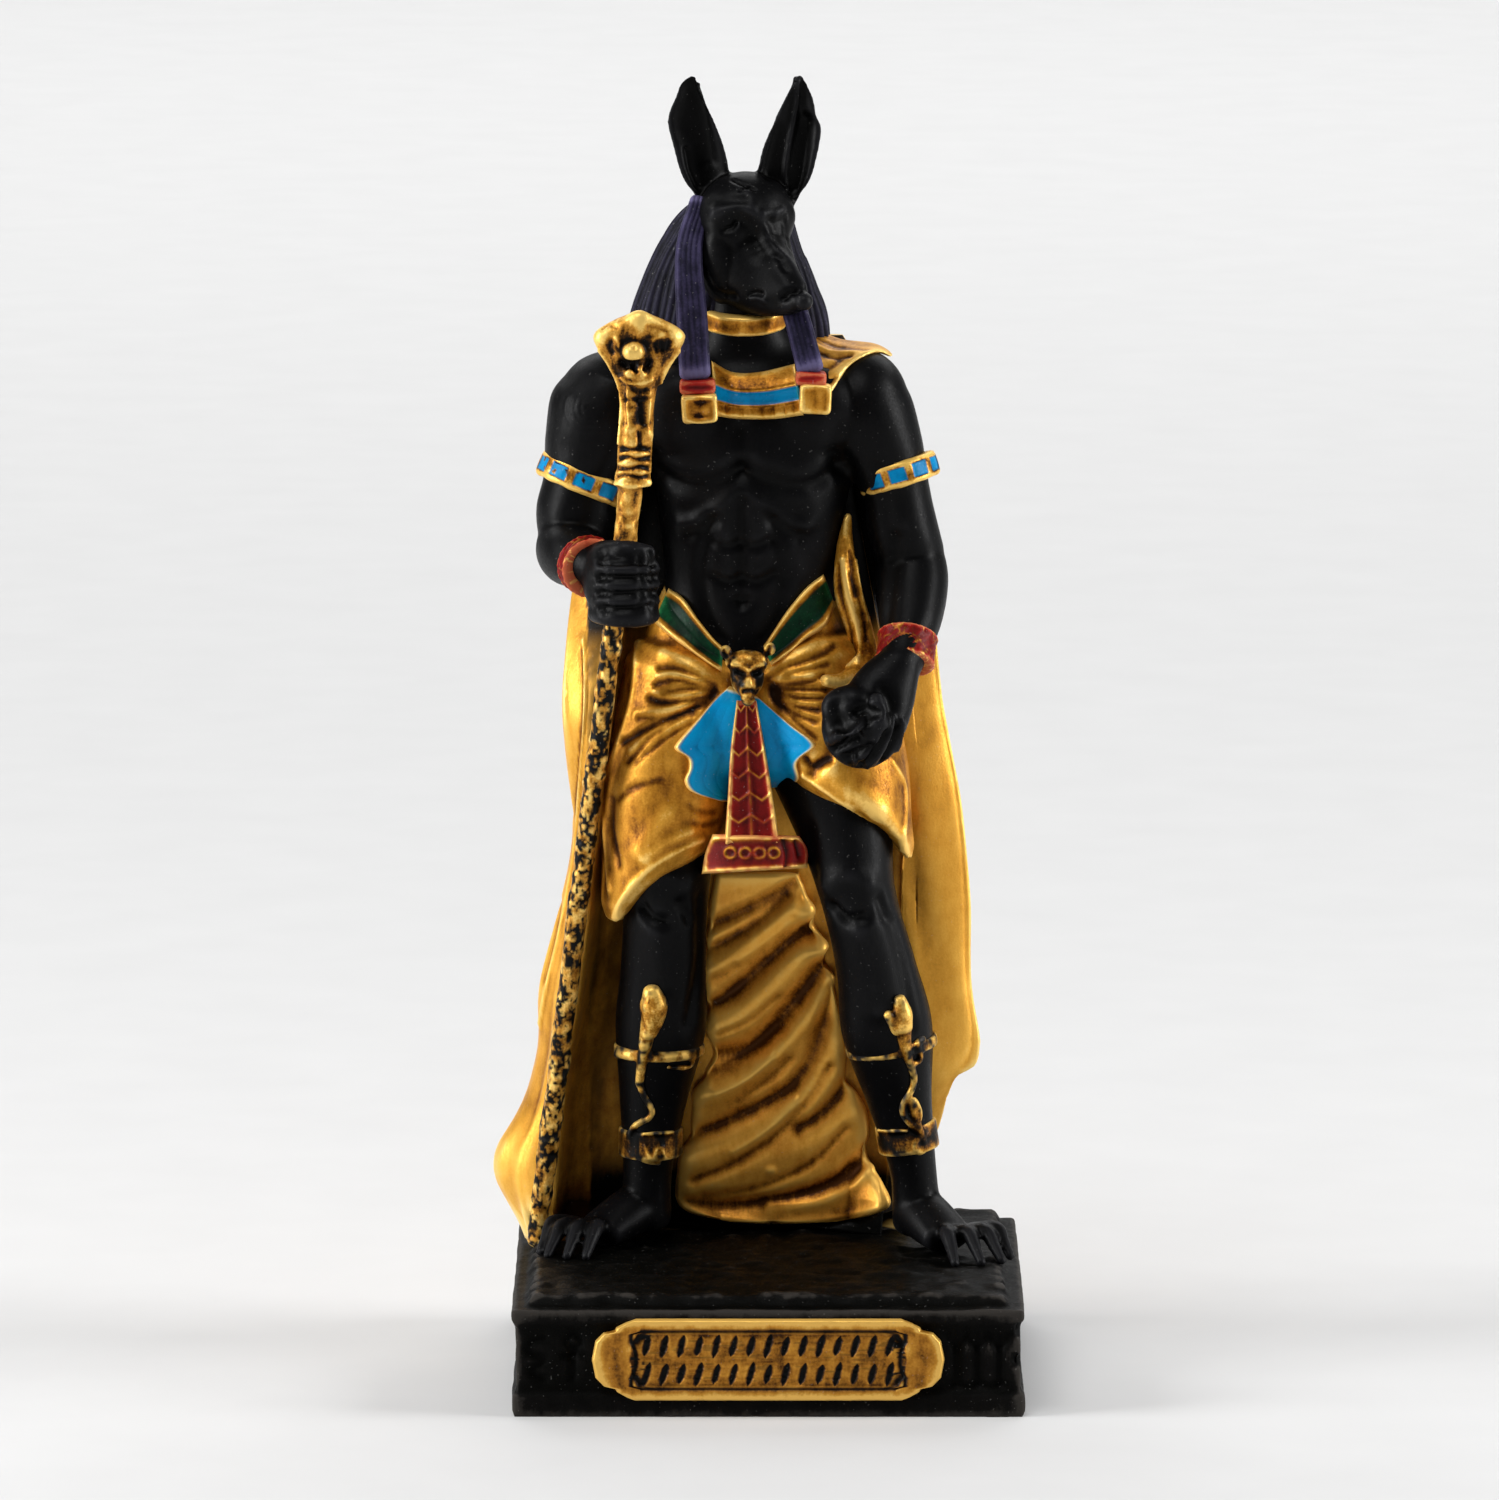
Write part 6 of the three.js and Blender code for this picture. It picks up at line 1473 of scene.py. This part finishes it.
curtain = laid(CURTAIN_LEFT, CURTAIN_RIGHT, hung, 230, 130,
               lambda s, t: 0.5 * soft_edge(s, 0.08) * soft_edge(t, 0.02), root=1.5, ease=0)
CURTAIN_STROKES = [
    ([(711, 926), (732, 918), (758, 906), (782, 892), (798, 880)], 0.57, -0.39),
    ([(706, 950), (722, 944), (746, 930), (772, 912), (788, 898)], 0.45, -0.28),
    ([(704, 972), (726, 962), (752, 942), (780, 918), (800, 900)], 0.55, 0.24),
    ([(706, 1008), (726, 1000), (748, 984), (774, 958), (798, 938), (818, 922)], 0.6, -0.48),
    ([(712, 1030), (740, 1016), (775, 985), (805, 952), (824, 936)], 0.99, 0.32),
    ([(712, 1058), (736, 1054), (762, 1040), (790, 1012), (814, 982), (834, 958)], 0.9, -0.68),
    ([(702, 1075), (724, 1070), (750, 1056), (780, 1030)], 0.52, -0.34),
    ([(698, 1096), (726, 1090), (760, 1066), (795, 1030), (820, 996), (834, 975)], 0.77, 0.36),
    ([(690, 1136), (716, 1128), (746, 1114), (776, 1098), (796, 1084), (814, 1056), (826, 1022), (832, 990)],
     0.63, -0.48),
    ([(690, 1160), (740, 1142), (785, 1118), (820, 1080), (838, 1040)], 1.21, 0.36),
    ([(800, 1128), (822, 1114), (838, 1098), (846, 1084)], 0.52, -0.34),
    ([(720, 1178), (770, 1160), (820, 1140), (855, 1112)], 1.1, 0.24),
    ([(688, 1205), (740, 1206), (790, 1199), (830, 1186), (858, 1166), (868, 1150)], 0.68, -0.55),
    ([(724, 1218), (770, 1222), (820, 1219), (860, 1212), (886, 1206)], 0.28, 0.16),
    ([(740, 1100), (770, 1080), (790, 1060)], 0.45, -0.13),
    ([(728, 990), (745, 978), (760, 962)], 0.45, -0.12),
    ([(694, 1180), (730, 1165), (770, 1140), (805, 1105), (830, 1066)], 0.4, -0.2),
    ([(706, 1196), (760, 1188), (810, 1164), (846, 1128)], 0.35, -0.16),
    ([(735, 1150), (765, 1130), (795, 1100)], 0.35, 0.14),
    ([(770, 1207), (815, 1202), (850, 1187), (872, 1165)], 0.4, 0.2),
    ([(720, 1034), (750, 1020), (778, 996)], 0.3, -0.12), ([(740, 960), (768, 940), (790, 922)], 0.3, 0.12),
    ([(716, 1092), (746, 1078), (772, 1056)], 0.3, 0.14),
]
curtain = carved(curtain[:2], CURTAIN_STROKES)
finished("curtain", *curtain, paint("curtain_gold_with_painted_light", CURTAIN_GOLD_WITH_PAINTED_LIGHT), spacing=0.14, keep=0.6)

# Staff: a rod with rings under a rearing cobra with a spread hood. It is fused to the hand and to the
# cloak's edge, black, and dry-brushed with gold.
HOOD_DEPTH = -5.9
HOOD_LEFT = [(637, 312), (620, 318), (605, 326), (595, 335), (596, 344), (602, 357), (611, 371), (619, 386),
             (622, 402), (620, 424), (618, 446), (617, 466), (615, 478), (617, 486)]
HOOD_RIGHT = [(643, 312), (660, 318), (675, 326), (685, 335), (683, 344), (675, 357), (667, 370), (659, 384),
              (655, 402), (654, 424), (653, 446), (652, 466), (652, 478), (649, 486)]
share = np.linspace(0, 1, 50)
hood_marks = marks_between(HOOD_LEFT, HOOD_RIGHT, 120, share)
bulge = np.sqrt(np.clip(1 - (2 * share - 1) ** 2, 0, 1)) * soft_edge(np.linspace(0, 1, 120), 0.05)[:, None]
hood_front = placed(hood_marks, HOOD_DEPTH - 1.1 * bulge)
hood = closed_sheet(hood_front, placed(hood_marks, HOOD_DEPTH + 0.9 * bulge + 0.05))


def spot(u, v, depth):
    # A place on the figure, by its mark in the picture and its depth
    x, y, z = placed((u, v), depth)
    return [x, y, z - GROUND]


staff = as_one([
    limb([[*STAFF_FOOT, 0.7], [*STAFF_GRIP, 0.7]], sides=32, steps=4),
    limb([[-9.8, -5.4, 47.6, 0.74], [-9.3, -5.9, 53.0, 0.8], [-9.1, -6.0, 55.0, 0.9]], sides=32, steps=8),
    hood,
    egg(*spot(634, 352, -7.2), 0.74, 0.8, 0.62),
    egg(*spot(636, 372, -6.9), 0.8, 0.5, 0.55),
], 0.13, 3)
STAFF_STROKES = [
    ([(604, 336), (620, 330), (640, 326), (660, 330), (676, 336)], 0.8, 0.2),
    ([(640, 318), (640, 332)], 0.7, 0.2),
    ([(601, 350), (611, 366), (619, 382), (623, 400), (622, 424), (620, 444)], 0.16, 0.22),
    ([(678, 350), (668, 366), (659, 384), (655, 402), (654, 424), (653, 444)], 0.16, 0.22),
    ([(612, 341), (610, 347), (613, 352)], 0.2, -0.14), ([(618, 338), (620, 346)], 0.16, 0.14),
    ([(657, 350), (655, 344)], 0.14, -0.14), ([(662, 350), (662, 342)], 0.14, -0.14),
    ([(667, 348), (669, 341)], 0.14, -0.14), ([(652, 340), (664, 334), (674, 337)], 0.16, 0.12),
    ([(604, 330), (610, 326), (618, 328)], 0.14, -0.12), ([(648, 326), (660, 329), (668, 334)], 0.14, -0.12),
    ([(618, 356), (606, 346), (602, 340)], 0.5, 0.08), ([(652, 356), (668, 350), (676, 342)], 0.5, 0.08),
    ([(635, 348), (634, 356), (638, 356), (635, 348)], 0.22, -0.14),
    ([(622, 363), (625, 367)], 0.24, -0.42), ([(634, 365), (637, 373)], 0.34, -0.5),
    ([(649, 363), (647, 369)], 0.26, -0.42),
    ([(622, 378), (630, 383), (642, 383), (652, 380)], 0.16, 0.16),
    ([(632, 390), (640, 392), (648, 390)], 0.22, -0.2), ([(639, 402), (642, 424)], 0.55, -0.35),
    ([(629, 388), (628, 404), (630, 424)], 0.14, 0.14), ([(650, 388), (650, 404), (649, 424)], 0.14, 0.14),
    ([(630, 400), (636, 407), (632, 414)], 0.16, 0.14), ([(626, 400), (650, 399)], 0.14, -0.2),
    ([(628, 430), (636, 428), (646, 430), (652, 436)], 0.3, 0.12), ([(639, 432), (640, 446)], 0.16, -0.2),
    ([(619, 449), (630, 450), (642, 449), (653, 450)], 0.16, -0.32),
    ([(618, 459), (628, 457), (638, 460), (652, 458)], 0.16, -0.3),
    ([(617, 468), (630, 469), (640, 467), (652, 469)], 0.16, -0.3),
    ([(616, 477), (626, 475), (640, 478), (652, 476)], 0.16, -0.28),
    ([(616, 483), (632, 486), (649, 483)], 0.2, 0.24),
]
staff = carved(staff, STAFF_STROKES)
bark = 0.08 * rough(staff[0], 0.5, 31) + 0.07 * rough(staff[0] * (1, 1, 0.5), 0.9, 32)
bark *= np.clip(at(0, 0, 54)[2] - staff[0][:, 2], 0.25, 1)
staff = staff[0] + normals_of(*staff) * bark[:, None], staff[1]
streaky, specked = rough(staff[0] * (1, 1, 0.5), 0.3, 33), rough(staff[0], 0.19, 34)
black_share = np.clip((0.22 - streaky - 0.9 * specked) / 0.35, 0, 1)
black_share *= np.clip((at(0, 0, 46.5)[2] - staff[0][:, 2]) / 1.0, 0, 1)
STAFF_GOLD = STREAKED_GOLD | {
    "stops": [(0.12, (246, 204, 112)), (0.36, (206, 150, 62)), (0.58, (154, 102, 34)), (0.72, (64, 40, 15)),
              (0.92, (12, 9, 7))],
    "patchy": 0.2, "grain": 0.6,
}
finished("staff", *staff, paint("staff_gold", STAFF_GOLD, BLACK_GROUND),
         trim=black_share, spacing=0.13, keep=0.85)

# Armlets: flat bands round the upper arms, with square inlays. They are cast on the arms, and painted gold
# with turquoise in the inlays, which is worn off in places.


def is_inlay(turn, z):
    return (np.abs(np.sin(turn * 5)) > 0.55) & (np.abs(z) < 0.26)


def inlaid(turn, z):
    return -0.08 if is_inlay(turn, z) else 0.0


armlets = [
    hoop(at(-12.5, 1.5, 53.0), (0.42, 0.1, 1), 2.85, 3.0, 1.7, pattern=inlaid),
    hoop(at(8.8, 1.6, 53.4), (-0.3, 0.1, 1), 2.45, 2.95, 1.7, pattern=inlaid),
]
armlet_points, armlet_faces = joined(armlets)
turns, heights = (np.concatenate([armlet[i] for armlet in armlets]) for i in (2, 3))
unworn = rough(armlet_points, 0.5, 51) * rough(armlet_points, 1.1, 52) <= 0.12
dents = 0.06 * rough(armlet_points, 0.7, 53)
armlet_points = armlet_points + normals_of(armlet_points, armlet_faces) * dents[:, None]
finished("armlets", armlet_points, armlet_faces, paint("armlet_paint", STREAKED_GOLD, BLUE),
         trim=(is_inlay(turns, heights) & unworn).astype(float), spacing=0.12)

# Bracelets: rounded bands at the wrists. They are cast on the arms, painted red and dry-brushed with gold
# along scratched lines.


def scratched(turn, z):
    # Two raised rims, with fine crossed scratches between them
    rims = 0.09 * math.exp(-((abs(z) - 0.4) / 0.08) ** 2)
    return rims + 0.03 * math.sin(23 * turn + 9 * math.sin(5 * z)) * math.sin(7 * turn + 11 * z)


bracelets = joined([
    hoop(at(-12.0, -3.6, 47.8), (0.4, -1, -0.1), 1.75, 1.85, 1.2, relief=0.22, pattern=scratched)[:2],
    hoop(at(9.3, -2.7, 42.0), (-0.12, -0.55, -0.8), 1.68, 1.75, 2.3, relief=0.28, pattern=scratched)[:2],
])
scuffs = np.clip(1.3 - np.abs(rough(bracelets[0], 0.5, 55)) / 0.06, 0, 0.8)
finished("bracelets", *bracelets, paint("bracelet_red", RED, GOLD), trim=scuffs, spacing=0.12)

# Greaves: two bands round each shin, and a small cobra that rears on it above a winding body. They are cast
# on the legs, painted black and brushed with gold where they stand out.


def cordlet(marks, under, radii, lift):
    # A rounded cord laid on a form along a drawn line, thick as noted from its start to its end
    line = seen_on(under, drawn(marks, max(4, int(length_of(marks) / 0.35)))) - INWARDS * lift
    for _ in range(4):
        line[1:-1] = (line[:-2] + 2 * line[1:-1] + line[2:]) / 4
    radius = np.interp(np.linspace(0, 1, len(line)), np.linspace(0, 1, len(radii)), radii)
    stations = [[*(point - (0, 0, GROUND)), size] for point, size in zip(line, radius)]
    return limb(stations, sides=14, steps=3 * len(stations))


greave_bands = [
    hoop(at(-7.4, 2.8, 13.6), UP, 2.9, 3.05, 0.8, relief=0.2)[:2],
    hoop(at(8.4, 0.9, 14.2), (-0.15, 0, 1), 2.95, 3.05, 0.8, relief=0.2)[:2],
    hoop(at(-8.0, 3.7, 7.0), UP, 2.0, 2.1, 2.0, relief=0.2)[:2],
    hoop(at(9.5, 2.0, 7.7), (-0.15, 0, 1), 1.9, 2.0, 2.0, relief=0.2)[:2],
]
# Each cord of the snakes has a line of marks, its radii from start to end, and how far it is raised
SNAKE_CORDS = [
    ([(652, 990), (655, 1002), (654, 1018), (650, 1034)], [0.6, 1.0, 0.8, 0.5], 0.3),
    ([(650, 1020), (646, 1045), (641, 1070), (640, 1084)], [0.6, 0.48, 0.36, 0.3], 0.15),
    ([(640, 1080), (643, 1096), (652, 1106), (656, 1114), (648, 1120), (634, 1124), (630, 1134), (633, 1150),
      (642, 1160), (660, 1163)],
     [0.3, 0.24, 0.24, 0.24, 0.24, 0.24, 0.24, 0.24, 0.22, 0.2], 0.12),
    ([(888, 1014), (894, 1020), (899, 1030)], [0.32, 0.45, 0.5], 0.15),
    ([(900, 998), (903, 1010), (903, 1028)], [0.4, 0.72, 0.7], 0.3),
    ([(904, 1020), (905, 1044), (910, 1062), (916, 1078), (912, 1092), (902, 1104), (901, 1112), (908, 1122),
      (918, 1130)],
     [0.6, 0.5, 0.38, 0.28, 0.24, 0.24, 0.24, 0.24, 0.22], 0.15),
    ([(656, 1058), (676, 1055), (694, 1057), (697, 1063), (690, 1068), (668, 1067)],
     [0.16, 0.2, 0.2, 0.2, 0.2, 0.14], 0.2),
    ([(910, 1046), (924, 1040), (936, 1038), (937, 1050), (930, 1060), (912, 1064)],
     [0.18, 0.22, 0.22, 0.22, 0.22, 0.18], 0.2),
    ([(912, 1126), (924, 1120), (938, 1124), (940, 1140), (930, 1152), (914, 1152), (914, 1138), (930, 1134)],
     [0.2, 0.3, 0.3, 0.3, 0.3, 0.28, 0.24, 0.2], 0.2),
    ([(644, 1134), (660, 1133), (674, 1132)], [0.12, 0.16, 0.14], 0.24),
    ([(878, 1130), (894, 1131), (908, 1131)], [0.12, 0.16, 0.14], 0.24),
]
snakes = [cordlet(marks, legs, radii, lift) for marks, radii, lift in SNAKE_CORDS]
greaves = as_one([*greave_bands, *snakes], 0.11, 3)
GREAVE_STROKES = [
    ([(646, 1146), (652, 1158), (660, 1146), (666, 1158)], 0.14, 0.12),
    ([(612, 1056), (622, 1054), (630, 1056)], 0.3, 0.15),
    ([(612, 1066), (622, 1068), (630, 1066)], 0.3, 0.15),
]
greaves = carved(greaves, GREAVE_STROKES)
raised = np.array([legs[2].find_nearest(Vector(point))[3] for point in greaves[0]])
brushed = 0.85 - 1.3 * raised + 1.3 * rough(greaves[0], 0.4, 61)
finished("greaves", *greaves, paint("greave_gold", STREAKED_GOLD, BLACK_GROUND), trim=np.clip(brushed, 0, 1),
         spacing=0.11, keep=0.75)

# Floor and light: a sweep of plain pale paper that curves up at the back. A soft lamp hangs above and in
# front, a stronger one stands on each side, and a large one lights the paper behind.
PAPER_HALF_WIDTH, PAPER_REACH, PAPER_BEND = 1.4, 1.2, 0.3
PAPER_TONES = [(208, 208, 208), (214, 214, 214)]
bpy.ops.mesh.primitive_plane_add(size=1)
sweep = bpy.context.object
sweep.name = "floor_sweep"
profile = [(-PAPER_REACH + 0.1 * i, 0.0) for i in range(25)]
profile += [
    (PAPER_REACH + PAPER_BEND * math.sin(a), PAPER_BEND - PAPER_BEND * math.cos(a))
    for a in np.radians(np.arange(6, 91, 6))
]
profile += [(PAPER_REACH + PAPER_BEND, PAPER_BEND + 0.1 * i) for i in range(1, 9)]
points = [(x, y, z) for y, z in profile for x in (-PAPER_HALF_WIDTH, 0, PAPER_HALF_WIDTH)]
corners = [3 * i + j for i in range(len(profile) - 1) for j in (0, 1)]
faces = [(corner, corner + 1, corner + 4, corner + 3) for corner in corners]
sweep.data.clear_geometry()
sweep.data.from_pydata(points, [], faces)
sweep.data.shade_smooth()
paper = bpy.data.materials.new("backdrop_paper")
paper.use_nodes = True
paper_nodes, paper_links = paper.node_tree.nodes, paper.node_tree.links
paper_shader = paper_nodes["Principled BSDF"]
fibre = paper_nodes.new("ShaderNodeTexNoise")
fibre.inputs["Scale"].default_value = 300
tone = paper_nodes.new("ShaderNodeValToRGB")
for element, colour in zip(tone.color_ramp.elements, PAPER_TONES):
    element.color = linear(*colour)
paper_links.new(fibre.outputs["Fac"], tone.inputs["Fac"])
paper_links.new(tone.outputs["Color"], paper_shader.inputs["Base Color"])
paper_shader.inputs["Roughness"].default_value = 0.9
sweep.data.materials.append(paper)


def lamp(name, place, size, power, target=(0, 0, 0.045)):
    # A rectangular lamp aimed at the target, which is the statuette's middle unless it is given
    bpy.ops.object.light_add(type="AREA", location=place)
    light = bpy.context.object
    light.name = name
    light.data.shape = "RECTANGLE"
    light.data.size, light.data.size_y = size
    light.data.energy = power
    aim = Vector(target) - Vector(place)
    light.rotation_euler = aim.to_track_quat("-Z", "Y").to_euler()


lamp("key_light", (-0.12, -0.26, 0.5), (0.3, 0.25), 1.25)
lamp("left_light", (-0.46, -0.1, 0.16), (0.2, 0.4), 2.9)
lamp("right_light", (0.47, -0.05, 0.18), (0.18, 0.36), 2.5)
lamp("back_light", (0, 0.8, 0.6), (1.6, 0.9), 10.0, (0, 0.8, 0))
world = bpy.context.scene.world or bpy.data.worlds.new("studio")
bpy.context.scene.world = world
world.use_nodes = True
background = world.node_tree.nodes["Background"]
background.inputs["Color"].default_value = (1, 1, 1, 1)
background.inputs["Strength"].default_value = 0.06
bpy.context.scene.view_settings.view_transform = "Standard"
